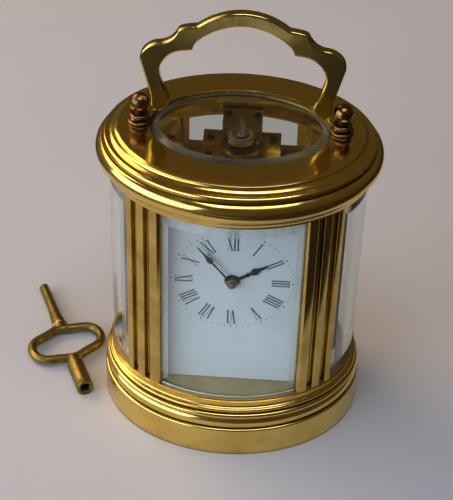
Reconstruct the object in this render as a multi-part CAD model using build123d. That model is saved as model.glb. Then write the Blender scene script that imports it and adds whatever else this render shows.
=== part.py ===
from build123d import *
import math
import os

# Oval brass carriage clock with its double-ended winding key.
# Millimetres. +Z is up, the dial faces -Y, +X is on the right as the dial is read.
# The origin is the centre of the face that the base stands on.

# ---------------------------------------------------------------- the oval case
throw = 7.3                 # half length less half depth, the same at every height of the case
glass_half_length = 38.3    # outside of the glasses; an _out is how far a piece stands out from it
path_out = -2.3             # oval that the mouldings are carried round

plinth_out = 2.7
plinth_height = 10.5
plinth_edge_round = 0.7
base_height = 21.6          # top of the base, where the glasses and the pilasters stand
base_quirk = 0.5            # small sunk lines between the mouldings
base_ovolo_out = 1.9
base_ovolo_top = 14.5
base_bead_out = 1.6
base_bead_top = 16.3
base_upper_bead_out = 1.1
base_upper_bead_top = 18.0
base_ledge_out = 0.6
base_floor_thickness = 4.0
base_rim_width = 8.0
base_cover_thickness = 1.4      # plate that closes the hollow from below
base_cover_lap = 0.6
ovolo_bulge = 0.8               # how far the rounded mouldings stand out from their chords
bead_bulge = 0.6
small_bead_bulge = 0.4
edge_bulge = 0.2
cove_bulge = 0.3

glass_thickness = 2.7
glass_clearance = 0.1
glass_bevel_width = 3.9
glass_bevel_depth = 0.8

lip_height = 88.0           # underside of the top moulding
top_rise = 12.8             # flat top of the case above the top moulding's underside
lip_out = 1.0
lip_thickness = 1.2
top_hollow_out = 1.9
top_torus_out = 3.7
top_torus_bottom_rise = 2.6 # heights of the mouldings above the underside
top_torus_top_rise = 8.8
top_groove_out = 1.6
top_groove_top_rise = 9.6
top_ogee_out = 0.3
top_ogee_top_rise = 11.9
top_flat_out = -2.3
top_plate_thickness = 4.8
top_cavity_out = -7.3
top_rim_width = 2.0             # solid metal outside the cavity before the moulding starts
top_fillet_width = 0.4
top_crown_lap = 3.0             # the crown reaches this far over the moulded ring

top_glass_out = -11.9
top_glass_ledge = 1.6
top_glass_thickness = 3.0
top_glass_bevel_width = 2.7
top_glass_bevel_depth = 0.8

# ---------------------------------------------------------------- pilasters and case screws
pilaster_inner_angle = 32.6     # from the front of the oval to the pilaster's inner edge, degrees
pilaster_proud = 1.0            # how far a pilaster stands in front of the glass
pilaster_depth = 4.4
strip_width = 3.15
strip_count = 3
groove_width = 1.7
groove_depth = 1.5
glass_slot_depth = 1.2
case_screw_radius = 0.8
case_screw_head_radius = 1.9
case_screw_head_height = 1.2
case_screw_thread = 3.6
screw_slot_width = 0.5
screw_slot_depth = 0.4
screw_clearance = 0.1

# ---------------------------------------------------------------- back door
door_thickness = 3.2
door_gap = 0.3
door_stile_width = 3.6
door_rail_height = 4.2
door_glass_thickness = 2.0
door_glass_lap = 1.0
door_knob_radius = 1.7
door_knob_length = 3.0
door_knob_crown = 0.6
hinge_pin_radius = 0.6
hinge_pin_clearance = 0.05
hinge_pin_length = 5.0
hinge_pin_seat = 2.0

# ---------------------------------------------------------------- handle and its posts
post_glass_gap = 2.8            # post axis outside the top glass
post_foot_radius = 3.1
post_foot_height = 0.9
post_waist_radius = 1.7
post_collar_radius = 2.6
post_collar_bottom = 1.9
post_collar_top = 2.9
post_neck_radius = 1.3
post_bulge = 0.3
post_ball_radius = 2.9
post_ball_height = 6.4          # ball centre, and the handle's pivots, above the flat top
post_stud_radius = 1.1
post_stud_length = 3.0
handle_thickness = 3.0
handle_post_gap = 0.3           # between a handle foot and the ball that carries it
handle_foot_width = 5.4
handle_foot_drop = 2.0
handle_crown_height = 31.0      # crown of the arch above the pivots
handle_band = 3.6
handle_arch_half_width = 12.4
handle_arch_rise = 4.6
handle_step_width = 5.0
handle_shoulder_inset = 0.6
handle_shoulder_height = 15.1
handle_chamfer = 0.5
handle_arch_bulge = 1.2
handle_arch_end_drop = 0.4
handle_step_drop = 1.9
handle_step_bulge = 0.9
handle_inner_step = 1.8
handle_inner_step_bulge = 0.5
handle_sweep_rise = 5.4         # shoulder to the hollow sweep beside the arch
handle_sweep_bulge = 1.6
handle_leg_width = 4.7
handle_leg_drop = 3.4
handle_foot_inner_rise = 2.4
handle_foot_outer_rise = 3.3
handle_foot_bulge = 0.8
pivot_screw_radius = 0.7
pivot_screw_clearance = 0.05
pivot_screw_head_radius = 1.1
pivot_screw_head_height = 0.8
pivot_screw_bite = 1.6
pivot_screw_recess = 1.2

# ---------------------------------------------------------------- dial and hands
dial_front_y = -20.4
dial_thickness = 1.0
dial_side_gap = 0.7             # between the dial and the backs of the pilasters
dial_top_gap = 2.0              # dial below the top moulding
dial_centre_drop = 27.4         # hands' axis below the top moulding
dial_hole_radius = 2.3
dial_foot_radius = 1.0
dial_foot_inset = 5.3
dial_foot_top_inset = 6.4
dial_foot_bottom_inset = 20.0
hand_thickness = 0.45
minute_hand_length = 16.5
hour_hand_length = 12.4
hand_boss_radius = 1.9
hand_gap = 0.35
hand_stem_width = 0.75
hand_bead_radius = 0.6
hand_bead_place = 0.48          # along the hand, in hand lengths
hand_lozenge_start = 0.55
hand_lozenge_middle = 0.68
hand_lozenge_half_width = 1.15
minute_hand_angle = 319.9       # clockwise from twelve, degrees
hour_hand_angle = 56.7

# ---------------------------------------------------------------- movement frame
plate_thickness = 2.0
plate_side_gap = 2.7            # between the back plate's edges and the case
front_plate_y = -14.0           # front face of the front plate
back_plate_y = 19.5             # back face of the back plate
platform_drop = 6.0             # platform's top face below the top moulding
platform_thickness = 2.0
platform_half_width = 11.9
platform_back_gap = 0.9         # between the platform's back edge and the line of the top's cavity
platform_front_y = -14.0
plate_pillar_radius = 2.5
plate_pillar_side_inset = 3.5
plate_pillar_inset = 5.0
plate_screw_radius = 1.0
plate_screw_head_radius = 1.9
plate_screw_head_height = 0.9
plate_screw_length = 5.0
movement_screw_radius = 1.1
movement_screw_head_radius = 2.2
movement_screw_head_height = 1.3
movement_screw_bite = 1.8

# ---------------------------------------------------------------- wheels and pinions
running_clearance = 0.05
end_shake = 0.1
pivot_radius = 0.45
arbor_radius = 0.8
barrel_module = 0.4
great_wheel_teeth = 80
centre_pinion_leaves = 10
centre_module = 0.3
centre_wheel_teeth = 64
third_pinion_leaves = 8
third_module = 0.3
third_wheel_teeth = 60
contrate_pinion_leaves = 8
contrate_module = 0.28
contrate_wheel_teeth = 54
contrate_headroom = 1.8         # between the crown teeth's pitch circle and the platform
escape_pinion_leaves = 6
motion_module = 0.35
cannon_leaves = 12
minute_wheel_teeth = 36
minute_pinion_leaves = 10
hour_wheel_teeth = 40
wheel_addendum = 0.85           # tooth tip and root from the pitch circle, in modules
wheel_dedendum = 1.15
wheel_tooth_fill = 0.38         # part of the pitch that a tooth takes at the pitch circle
pinion_addendum = 0.65
pinion_dedendum = 1.1
pinion_leaf_fill = 0.36
tooth_root_flare = 1.15         # tooth width at the root and at the tip, in widths at the pitch circle
tooth_tip_taper = 0.45
wheel_thickness = 1.2
wheel_rim_width = 1.7
wheel_hub_radius = 2.0
wheel_crossings = 4
crossing_width = 1.3
pinion_length = 3.4
centre_tube_radius = 1.35
hour_pipe_radius = 1.9
cannon_pipe_radius = 1.3
cannon_overhang = 0.4           # cannon pinion longer than the minute wheel is thick
minute_wheel_shake = 0.2
hour_wheel_gap = 0.3
minute_hub_radius = 2.4
hour_hub_radius = 2.5
minute_stud_radius = 0.8
stud_washer_radius = 1.3
stud_washer_thickness = 0.4
crown_tooth_height = 0.9
crown_tooth_band = 1.2
crown_tooth_fill = 0.36
crown_depth = 0.1               # how far the crown teeth reach past the pinion's pitch circle

# places of the wheels along the arbors, measured from the front plate's back face
great_wheel_place = 3.0
barrel_drum_length = 17.5
centre_wheel_place = 24.8
third_wheel_place = 21.0

# ---------------------------------------------------------------- barrel and winding work
barrel_radius = 13.5
barrel_wall = 0.9
barrel_arbor_radius = 2.2
barrel_hook_gap = 0.3
mainspring_leaf = 0.5
mainspring_turns = 8
mainspring_inner_gap = 1.6
spring_points_per_turn = 16
winding_square = 2.6
winding_square_reach = 6.2
setting_square = 1.5
setting_square_reach = 5.6
ratchet_teeth = 24
ratchet_radius = 5.6
ratchet_tooth_depth = 0.8
ratchet_thickness = 1.4
ratchet_lift = 0.2
ratchet_face_share = 0.08       # part of the pitch that a tooth's steep face takes
click_reach = 7.5
click_width = 2.2
click_shoulder = 2.1
click_screw_radius = 0.8
click_screw_head_radius = 1.5
click_screw_head_height = 0.8
click_spring_thickness = 0.35
click_spring_gap = 0.3
click_spring_foot_x = 2.6       # foot outside the click, and above its screw
click_spring_foot_rise = 5.5
click_spring_foot_radius = 1.5
click_spring_end_rise = 1.8

# ---------------------------------------------------------------- platform escapement
balance_y = 8.7
escape_x = 4.5
escape_y = 0.5
escape_radius = 4.3
escape_tooth_count = 15
escape_thickness = 0.6
escape_rim_inner_radius = 2.6
escape_hub_radius = 1.1
# tooth of the escape wheel: radius in wheel radii, and place in tooth pitches
escape_tooth_form = ((0.76, 0.05), (0.76, 0.75), (0.9, 0.93), (1.0, 1.02), (1.0, 1.16), (0.9, 1.1))
escape_lift = 0.9               # wheel and lever above the platform
pallet_ratio = 1.155            # lever pivot to escape axis, in escape radii
pallet_clearance = 0.25
lever_thickness = 0.6
lever_width = 0.9
lever_hub_radius = 0.54
fork_notch_width = 0.54
pallet_angle = 30.0             # pallet stones from the lever's line, as seen from the escape wheel
pallet_beam_width = 0.7
pallet_beam_share = 0.8
roller_radius = 1.6
roller_lift = 1.9
roller_thickness = 0.5
impulse_pin_radius = 0.18
lower_cock_lift = 2.3           # underside of the lever and escape cocks above the platform
lower_cock_thickness = 0.9
lower_cock_width = 3.0
lower_cock_foot_radius = 1.8
lever_cock_inset = 2.4          # feet of the small cocks from the platform's edges
escape_cock_inset = 3.0
escape_cock_reach = 8.4         # foot of the escape cock in front of the escape wheel
balance_radius = 6.2
balance_rim_width = 0.9
balance_lift = 4.0
balance_thickness = 0.9
balance_arm_width = 0.8
balance_hub_radius = 1.1
collet_radius = 0.8
hairspring_lift = 5.3
hairspring_height = 0.5
hairspring_leaf = 0.12
hairspring_inner_radius = 1.1
hairspring_outer_radius = 3.9
hairspring_turns = 6
cock_underside_lift = 6.5
cock_top_lift = 8.0
cock_half_width = 6.0
cock_nose_radius = 4.1
cock_foot_depth = 6.6
cock_shoulder_run = 1.2         # the cock keeps its width this far past its foot
cock_neck_run = 0.8
cock_screw_inset = 1.6
index_ring_radius = 3.6
index_ring_width = 0.9
index_thickness = 0.45
index_tail_length = 12.0
index_tail_width = 2.2
index_tip_width = 1.5
jewel_radius = 1.9
jewel_height = 0.5
potence_drop = 7.4
potence_thickness = 1.2
potence_half_width = 1.6
potence_reach = 4.8
fine_pivot_radius = 0.22
fine_arbor_radius = 0.4
impulse_reach = 1.05
small_screw_radius = 0.6
small_screw_head_radius = 1.15
small_screw_head_height = 0.6
small_screw_length = 2.2

# ---------------------------------------------------------------- winding key
key_side_gap = 15.0             # middle of the key outside the plinth
key_y = 10.3
key_turn = 23.3                 # the key's stems lie this far from the Y axis, degrees
key_bow_turn = 7.5              # the bow stands this far from square to the stems, degrees
key_bow_half_width = 13.4
key_lobe_x = 8.3
key_lobe_height = 6.9
key_neck_x = 4.4                # between a lobe and the stems the bow rises in a slight ogee
key_neck_height = 8.0
key_waist_height = 9.2
key_wire_radius = 1.5
key_barrel_radius = 2.8
key_barrel_length = 14.2
key_barrel_reach = 23.5
key_stem_radius = 2.2
key_stem_length = 5.5
key_tip_radius = 1.55
key_tip_reach = 31.2
key_socket_depth = 8.0
key_tip_socket_depth = 6.0
square_clearance = 0.1

# ================================================================ worked-out sizes
path_half_length = glass_half_length + path_out
plinth_half_length = glass_half_length + plinth_out
base_ovolo_half_length = glass_half_length + base_ovolo_out
base_bead_half_length = glass_half_length + base_bead_out
base_upper_bead_half_length = glass_half_length + base_upper_bead_out
base_ledge_half_length = glass_half_length + base_ledge_out
lip_half_length = glass_half_length + lip_out
top_hollow_half_length = glass_half_length + top_hollow_out
top_torus_half_length = glass_half_length + top_torus_out
top_groove_half_length = glass_half_length + top_groove_out
top_ogee_half_length = glass_half_length + top_ogee_out
top_flat_half_length = glass_half_length + top_flat_out
top_cavity_half_length = glass_half_length + top_cavity_out
top_glass_half_length = glass_half_length + top_glass_out
base_hollow_half_length = plinth_half_length - base_rim_width
glass_inner_half_length = glass_half_length - glass_thickness
pilaster_half_length = glass_half_length + pilaster_proud
pilaster_back_half_length = pilaster_half_length - pilaster_depth
pilaster_width = strip_count * strip_width + (strip_count - 1) * groove_width
top_height = lip_height + top_rise
top_torus_bottom = lip_height + top_torus_bottom_rise
top_torus_top = lip_height + top_torus_top_rise
top_groove_top = lip_height + top_groove_top_rise
top_ogee_top = lip_height + top_ogee_top_rise
case_middle_height = (base_height + lip_height) / 2


def room_inside(y):
    """Half the clear width between the pilasters at a distance from the front."""
    depth = pilaster_back_half_length - throw
    return pilaster_back_half_length * math.sqrt(1 - (y / depth) ** 2)


dial_half_width = room_inside(dial_front_y) - dial_side_gap
dial_foot_x = dial_half_width - dial_foot_inset
plate_half_width = room_inside(back_plate_y) - plate_side_gap
plate_pillar_x = plate_half_width - plate_pillar_side_inset
case_inner_height = lip_height - base_height
top_ledge_height = top_height - top_glass_thickness
top_cavity_top = top_height - top_plate_thickness
handle_pivot_z = top_height + post_ball_height
post_x = top_glass_half_length + post_glass_gap
handle_shoulder_x = post_x - handle_shoulder_inset
handle_foot_x = post_x - post_ball_radius - handle_post_gap

front_plate_back_y = front_plate_y + plate_thickness
back_plate_front_y = back_plate_y - plate_thickness
platform_top = lip_height - platform_drop
platform_bottom = platform_top - platform_thickness
platform_back_y = top_cavity_half_length - throw - platform_back_gap
dial_top_height = lip_height - dial_top_gap
dial_centre_height = lip_height - dial_centre_drop
plate_height = platform_bottom - base_height

centre_spot = (0.0, dial_centre_height)
barrel_distance = barrel_module * (great_wheel_teeth + centre_pinion_leaves) / 2
barrel_spot = (0.0, dial_centre_height - barrel_distance)
contrate_radius = contrate_module * contrate_wheel_teeth / 2
contrate_spot = (escape_x, platform_bottom - contrate_headroom - contrate_radius)
third_reach = centre_module * (centre_wheel_teeth + third_pinion_leaves) / 2
contrate_reach = third_module * (third_wheel_teeth + contrate_pinion_leaves) / 2
minute_reach = motion_module * (cannon_leaves + minute_wheel_teeth) / 2
minute_spot = (0.0, dial_centre_height - minute_reach)
hour_module = 2 * minute_reach / (minute_pinion_leaves + hour_wheel_teeth)
escape_pinion_radius = contrate_module * escape_pinion_leaves / 2
crown_tip_y = escape_y - escape_pinion_radius + crown_depth
ratchet_front = back_plate_y + end_shake
ratchet_back = ratchet_front + ratchet_thickness
key_x = -plinth_half_length - key_side_gap
click_spot = (-ratchet_radius - click_width / 2, barrel_spot[1] + click_reach)


def circles_meet(first, first_radius, second, second_radius):
    """The point on the right where two circles cross: where an arbor meshes with two others."""
    dx = second[0] - first[0]
    dz = second[1] - first[1]
    gap = math.hypot(dx, dz)
    along = (first_radius ** 2 - second_radius ** 2 + gap ** 2) / (2 * gap)
    aside = math.sqrt(first_radius ** 2 - along ** 2)
    return (first[0] + (along * dx + aside * dz) / gap, first[1] + (along * dz - aside * dx) / gap)


third_spot = circles_meet(centre_spot, third_reach, contrate_spot, contrate_reach)


def line_angle(start, end):
    """Direction from one point to another, in degrees."""
    return math.degrees(math.atan2(end[1] - start[1], end[0] - start[0]))


# ================================================================ helpers for the oval case
def oval(half_length):
    """Plan face of the case at the level where its half length is this."""
    return Ellipse(half_length, half_length - throw)


def oval_point(half_length, angle, out=0.0):
    """Point on the oval at an angle from the front, moved out along the oval's normal."""
    a = half_length
    b = half_length - throw
    s = math.sin(math.radians(angle))
    c = math.cos(math.radians(angle))
    size = math.hypot(b * s, a * c)
    return (a * s + out * b * s / size, -b * c - out * a * c / size)


def oval_step(half_length, angle, distance):
    """Angle reached by going a distance along the oval from an angle."""
    steps = 200
    for _ in range(steps):
        slope_x = half_length * math.cos(math.radians(angle))
        slope_y = (half_length - throw) * math.sin(math.radians(angle))
        angle += math.degrees(distance / steps / math.hypot(slope_x, slope_y))
    return angle


def oval_sector(outer, inner, start, end, bottom, height):
    """Upright piece of the wall between two ovals, with ends square to the wall."""
    reach = outer - inner
    middle = (start + end) / 2
    corners = [
        oval_point(outer, start, -2 * reach),
        oval_point(outer, start, reach),
        oval_point(outer, middle, outer),
        oval_point(outer, end, reach),
        oval_point(outer, end, -2 * reach),
    ]
    wedge = make_face(Polyline(*corners, close=True))
    plan = (oval(outer) - oval(inner)) & wedge
    return Pos(0, 0, bottom) * extrude(plan, amount=height)


def bulged_face(rows):
    """Closed outline run anticlockwise. A row is a corner and how far the edge to it bulges outwards."""
    edges = []
    for (x0, z0, _), (x1, z1, bulge) in zip(rows, rows[1:] + rows[:1]):
        if bulge:
            edges.append(SagittaArc((x0, z0), (x1, z1), -bulge))
        else:
            edges.append(Line((x0, z0), (x1, z1)))
    return make_face(Wire(edges))


def moulding(rows):
    """Ring carried round the oval. Each row is half length, height and bulge of the edge to it."""
    path = Wire([Edge.make_ellipse(path_half_length, path_half_length - throw)])
    return sweep(Plane.XZ * bulged_face(rows), path=path)


def oval_slab(half_length, bottom, top):
    return Pos(0, 0, bottom) * extrude(oval(half_length), amount=top - bottom)


# ================================================================ helpers for round pieces
def rod_z(x, y, radius, bottom, top):
    return Pos(x, y, bottom) * Cylinder(radius, top - bottom, align=(Align.CENTER, Align.CENTER, Align.MIN))


def rod_y(spot, radius, front, back):
    return Pos(spot[0], back, spot[1]) * Rot(90, 0, 0) * Cylinder(
        radius, back - front, align=(Align.CENTER, Align.CENTER, Align.MIN))


def plate_y(spot, face, front, back):
    """A flat face drawn as the dial is read, made solid between two distances along Y."""
    return Pos(spot[0], back, spot[1]) * Rot(90, 0, 0) * extrude(face, amount=back - front)


def plate_z(x, y, face, bottom, top):
    return Pos(x, y, bottom) * extrude(face, amount=top - bottom)


def turned_z(rows):
    """Turned piece about Z through the origin: rows of radius, height and bulge."""
    return revolve(Plane.XZ * bulged_face(rows), Axis.Z)


def screw(radius, length, head_radius, head_height):
    """Cheese-headed screw, its head above z = 0 and its shank below."""
    head = Cylinder(head_radius, head_height, align=(Align.CENTER, Align.CENTER, Align.MIN))
    slot = Pos(0, 0, head_height) * Box(3 * head_radius, screw_slot_width, 2 * screw_slot_depth)
    shank = Cylinder(radius, length, align=(Align.CENTER, Align.CENTER, Align.MAX))
    return head - slot + shank


def gear_face(teeth, module, tip=wheel_addendum, root=wheel_dedendum, fill=wheel_tooth_fill, phase=0.0):
    """Plan of a toothed wheel, with the middle of one tooth at the phase angle."""
    pitch = 360 / teeth
    pitch_radius = module * teeth / 2
    points = []
    for tooth in range(teeth):
        middle = phase + tooth * pitch
        for radius, share in (
            (pitch_radius - root * module, -tooth_root_flare * fill),
            (pitch_radius, -fill),
            (pitch_radius + tip * module, -tooth_tip_taper * fill),
            (pitch_radius + tip * module, tooth_tip_taper * fill),
            (pitch_radius, fill),
            (pitch_radius - root * module, tooth_root_flare * fill),
        ):
            turn = math.radians(middle + share * pitch / 2)
            points.append((radius * math.cos(turn), radius * math.sin(turn)))
    return make_face(Polyline(*points, close=True))


def pinion_face(leaves, module, phase):
    return gear_face(leaves, module, pinion_addendum, pinion_dedendum, pinion_leaf_fill, phase)


def crossed_out(face, outer, hub):
    """Wheel with windows between its arms."""
    ring = Circle(outer) - Circle(hub)
    arms = Sketch() + [
        Rot(0, 0, arm * 360 / wheel_crossings) * Rectangle(2 * outer, crossing_width)
        for arm in range(wheel_crossings // 2)
    ]
    return face - (ring - arms)


# ================================================================ case
def make_base():
    rows = [
        (plinth_half_length, 0, 0),
        (plinth_half_length, plinth_height - plinth_edge_round, 0),
        (plinth_half_length - plinth_edge_round, plinth_height, edge_bulge),
        (base_ovolo_half_length - base_quirk, plinth_height, 0),
        (base_ovolo_half_length - base_quirk, plinth_height + base_quirk, 0),
        (base_ovolo_half_length, plinth_height + base_quirk, 0),
        (base_bead_half_length - base_quirk, base_ovolo_top, ovolo_bulge),
        (base_bead_half_length, base_ovolo_top, 0),
        (base_bead_half_length, base_bead_top, bead_bulge),
        (base_upper_bead_half_length - base_quirk, base_bead_top, 0),
        (base_upper_bead_half_length, base_bead_top + base_quirk, 0),
        (base_upper_bead_half_length, base_upper_bead_top, small_bead_bulge),
        (base_ledge_half_length - base_quirk, base_upper_bead_top + base_quirk, -edge_bulge),
        (base_ledge_half_length, base_height, -cove_bulge),
        (base_hollow_half_length, base_height, 0),
        (base_hollow_half_length, 0, 0),
    ]
    ring = moulding(rows)
    floor = oval_slab(path_half_length, base_height - base_floor_thickness, base_height)
    rim = oval_slab(path_half_length, 0, base_height)
    rim -= oval_slab(base_hollow_half_length, 0, base_height)
    base = ring + rim + floor
    base -= oval_slab(base_hollow_half_length + base_cover_lap, 0, base_cover_thickness)
    for x, y in pilaster_centres():
        base -= rod_z(x, y, case_screw_radius + screw_clearance, 0, base_height)
        base -= rod_z(x, y, case_screw_head_radius + screw_clearance, 0, case_screw_seat)
    for x in (-plate_pillar_x, plate_pillar_x):
        base -= rod_z(x, movement_middle_y, movement_screw_radius + screw_clearance, 0, base_height)
    base -= rod_z(*hinge_spot, hinge_pin_radius, base_height - hinge_pin_seat, base_height)
    return base


def make_base_cover():
    half_length = base_hollow_half_length + base_cover_lap - glass_clearance
    return oval_slab(half_length, 0, base_cover_thickness)


def make_top():
    torus_bulge = top_torus_half_length - top_hollow_half_length
    rows = [
        (lip_half_length - lip_thickness * 2, lip_height, 0),
        (lip_half_length, lip_height, 0),
        (top_hollow_half_length, top_torus_bottom - lip_thickness / 2, -cove_bulge),
        (top_hollow_half_length, top_torus_bottom, 0),
        (top_groove_half_length + top_fillet_width, top_torus_top, torus_bulge),
        (top_groove_half_length - base_quirk, top_torus_top, 0),
        (top_groove_half_length - base_quirk, top_groove_top, 0),
        (top_groove_half_length, top_groove_top, 0),
        (top_ogee_half_length, top_ogee_top - lip_thickness, small_bead_bulge),
        (top_flat_half_length + base_quirk, top_ogee_top, -cove_bulge),
        (top_flat_half_length + base_quirk, top_ogee_top + base_quirk, 0),
        (top_flat_half_length - base_quirk, top_height, 0),
        (top_cavity_half_length + top_rim_width, top_height, 0),
        (top_cavity_half_length + top_rim_width, lip_height, 0),
    ]
    ring = moulding(rows)
    crown = oval_slab(top_cavity_half_length + top_crown_lap, lip_height, top_height)
    crown -= oval_slab(top_cavity_half_length, lip_height, top_cavity_top)
    top = ring + crown
    top -= oval_slab(top_glass_half_length - top_glass_ledge, top_cavity_top, top_height)
    top -= oval_slab(top_glass_half_length, top_ledge_height, top_height)
    for x, y in pilaster_centres():
        top -= rod_z(x, y, case_screw_radius, lip_height, lip_height + case_screw_thread)
    for side in (-1, 1):
        top -= rod_z(side * post_x, 0, post_stud_radius, top_height - post_stud_length, top_height)
    top -= rod_z(*hinge_spot, hinge_pin_radius, lip_height, lip_height + hinge_pin_seat)
    return top


def pilaster_centres():
    """Where the long case screws run, one up the middle of each pilaster."""
    centre_half_length = pilaster_back_half_length + (pilaster_depth - groove_depth) / 2
    x, y = oval_point(centre_half_length, pilaster_middle_angle)
    return [(side * x, face * y) for face in (1, -1) for side in (-1, 1)]


pilaster_outer_angle = oval_step(pilaster_half_length, pilaster_inner_angle, pilaster_width)
pilaster_middle_angle = (pilaster_inner_angle + pilaster_outer_angle) / 2
case_screw_seat = base_height - base_floor_thickness - 2 * case_screw_head_height
movement_middle_y = (front_plate_back_y + back_plate_front_y) / 2

door_half_length = glass_half_length + pilaster_proud / 2
door_back_half_length = door_half_length - door_thickness
door_free_angle = 180 - oval_step(door_half_length, pilaster_inner_angle, -door_gap)
door_hinge_angle = 180 + oval_step(door_half_length, pilaster_inner_angle, -door_gap - door_thickness / 2)
hinge_spot = oval_point(door_half_length, door_hinge_angle, -door_thickness / 2)
door_bottom = base_height + door_gap
door_height = case_inner_height - 2 * door_gap


def make_pilaster(side, face):
    """Fluted pilaster with a slot along each edge for the glasses. Face is 1 in front, -1 behind."""
    body = oval_sector(pilaster_half_length, pilaster_back_half_length,
                       pilaster_inner_angle, pilaster_outer_angle, base_height, case_inner_height)
    for flute in range(strip_count - 1):
        start = (flute + 1) * strip_width + flute * groove_width
        body -= oval_sector(
            pilaster_half_length + groove_depth, pilaster_half_length - groove_depth,
            oval_step(pilaster_half_length, pilaster_inner_angle, start),
            oval_step(pilaster_half_length, pilaster_inner_angle, start + groove_width),
            base_height, case_inner_height)
    slots = [(pilaster_outer_angle, -1)]
    if face > 0:
        slots.append((pilaster_inner_angle, 1))
    for edge, way in slots:
        deep = oval_step(glass_half_length, edge, way * glass_slot_depth)
        past = oval_step(glass_half_length, edge, -way * glass_slot_depth)
        body -= oval_sector(glass_half_length + glass_clearance, glass_inner_half_length - glass_clearance,
                            min(deep, past), max(deep, past), base_height, case_inner_height)
    x, y = pilaster_centres()[1]
    body -= rod_z(x, y, case_screw_radius + screw_clearance, base_height, lip_height)
    if side < 0:
        body = mirror(body, Plane.YZ)
    if face < 0:
        body = mirror(body, Plane.XZ)
    return body


def make_pane(start, end):
    """Curved pane that reaches into the pilasters' slots."""
    reach = glass_slot_depth - glass_clearance
    pane = oval_sector(glass_half_length, glass_inner_half_length,
                       oval_step(glass_half_length, start, -reach), oval_step(glass_half_length, end, reach),
                       base_height, case_inner_height - glass_clearance)
    front = pane.faces().sort_by(SortBy.AREA)[-1]
    return chamfer(front.edges(), length=glass_bevel_width, length2=glass_bevel_depth, reference=front)


def make_top_glass():
    pane = oval_slab(top_glass_half_length - glass_clearance, top_ledge_height, top_height)
    rim = pane.edges().group_by(Axis.Z)[-1]
    return chamfer(rim, length=top_glass_bevel_depth, length2=top_glass_bevel_width)


def make_case_screws():
    length = lip_height + case_screw_thread - glass_clearance - case_screw_seat
    one = Rot(180, 0, 0) * screw(case_screw_radius, length, case_screw_head_radius, case_screw_head_height)
    return Compound([Pos(x, y, case_screw_seat) * one for x, y in pilaster_centres()])


# ================================================================ back door
def door_window(edge, lap):
    """Angles, bottom and height of the opening in the door, made smaller by an edge less a lap."""
    start = oval_step(door_half_length, door_free_angle, door_stile_width - lap)
    end = oval_step(door_half_length, door_hinge_angle, lap - door_stile_width + door_thickness / 2)
    return start, end, door_bottom + edge - lap, door_height - 2 * (edge - lap)


def make_door_frame():
    frame = oval_sector(door_half_length, door_back_half_length,
                        door_free_angle, door_hinge_angle, door_bottom, door_height)
    frame += rod_z(*hinge_spot, door_thickness / 2, door_bottom, door_bottom + door_height)
    frame -= oval_sector(door_half_length + door_thickness, door_back_half_length - door_thickness,
                         *door_window(door_rail_height, 0))
    frame -= oval_sector(door_back_half_length + door_glass_thickness,
                         door_back_half_length - door_thickness,
                         *door_window(door_rail_height, door_glass_lap))
    hole = hinge_pin_radius + hinge_pin_clearance
    reach = hinge_pin_length - hinge_pin_seat
    frame -= rod_z(*hinge_spot, hole, door_bottom, base_height + reach + hinge_pin_clearance)
    frame -= rod_z(*hinge_spot, hole, lip_height - reach - hinge_pin_clearance, lip_height - door_gap)
    return frame


def make_door_glass():
    return oval_sector(door_back_half_length + door_glass_thickness, door_back_half_length,
                       *door_window(door_rail_height, door_glass_lap - glass_clearance))


def make_hinge_pins():
    reach = hinge_pin_length - hinge_pin_seat
    return Compound([
        rod_z(*hinge_spot, hinge_pin_radius, base_height - hinge_pin_seat, base_height + reach),
        rod_z(*hinge_spot, hinge_pin_radius, lip_height - reach, lip_height + hinge_pin_seat),
    ])


def make_door_knob():
    angle = oval_step(door_half_length, door_free_angle, door_stile_width / 2)
    x, y = oval_point(door_half_length, angle)
    turn = math.degrees(math.atan2(*[c - d for c, d in zip(oval_point(door_half_length, angle, 1), (x, y))]))
    knob = turned_z([
        (0, 0, 0),
        (door_knob_radius / 2, 0, 0),
        (door_knob_radius / 2, door_knob_length / 3, 0),
        (door_knob_radius, door_knob_length / 2, 0),
        (door_knob_radius, door_knob_length - door_knob_crown, 0),
        (door_knob_radius / 2, door_knob_length, edge_bulge),
        (0, door_knob_length, 0),
    ])
    return Pos(x, y, case_middle_height) * Rot(0, 0, -turn) * Rot(-90, 0, 0) * knob


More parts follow.
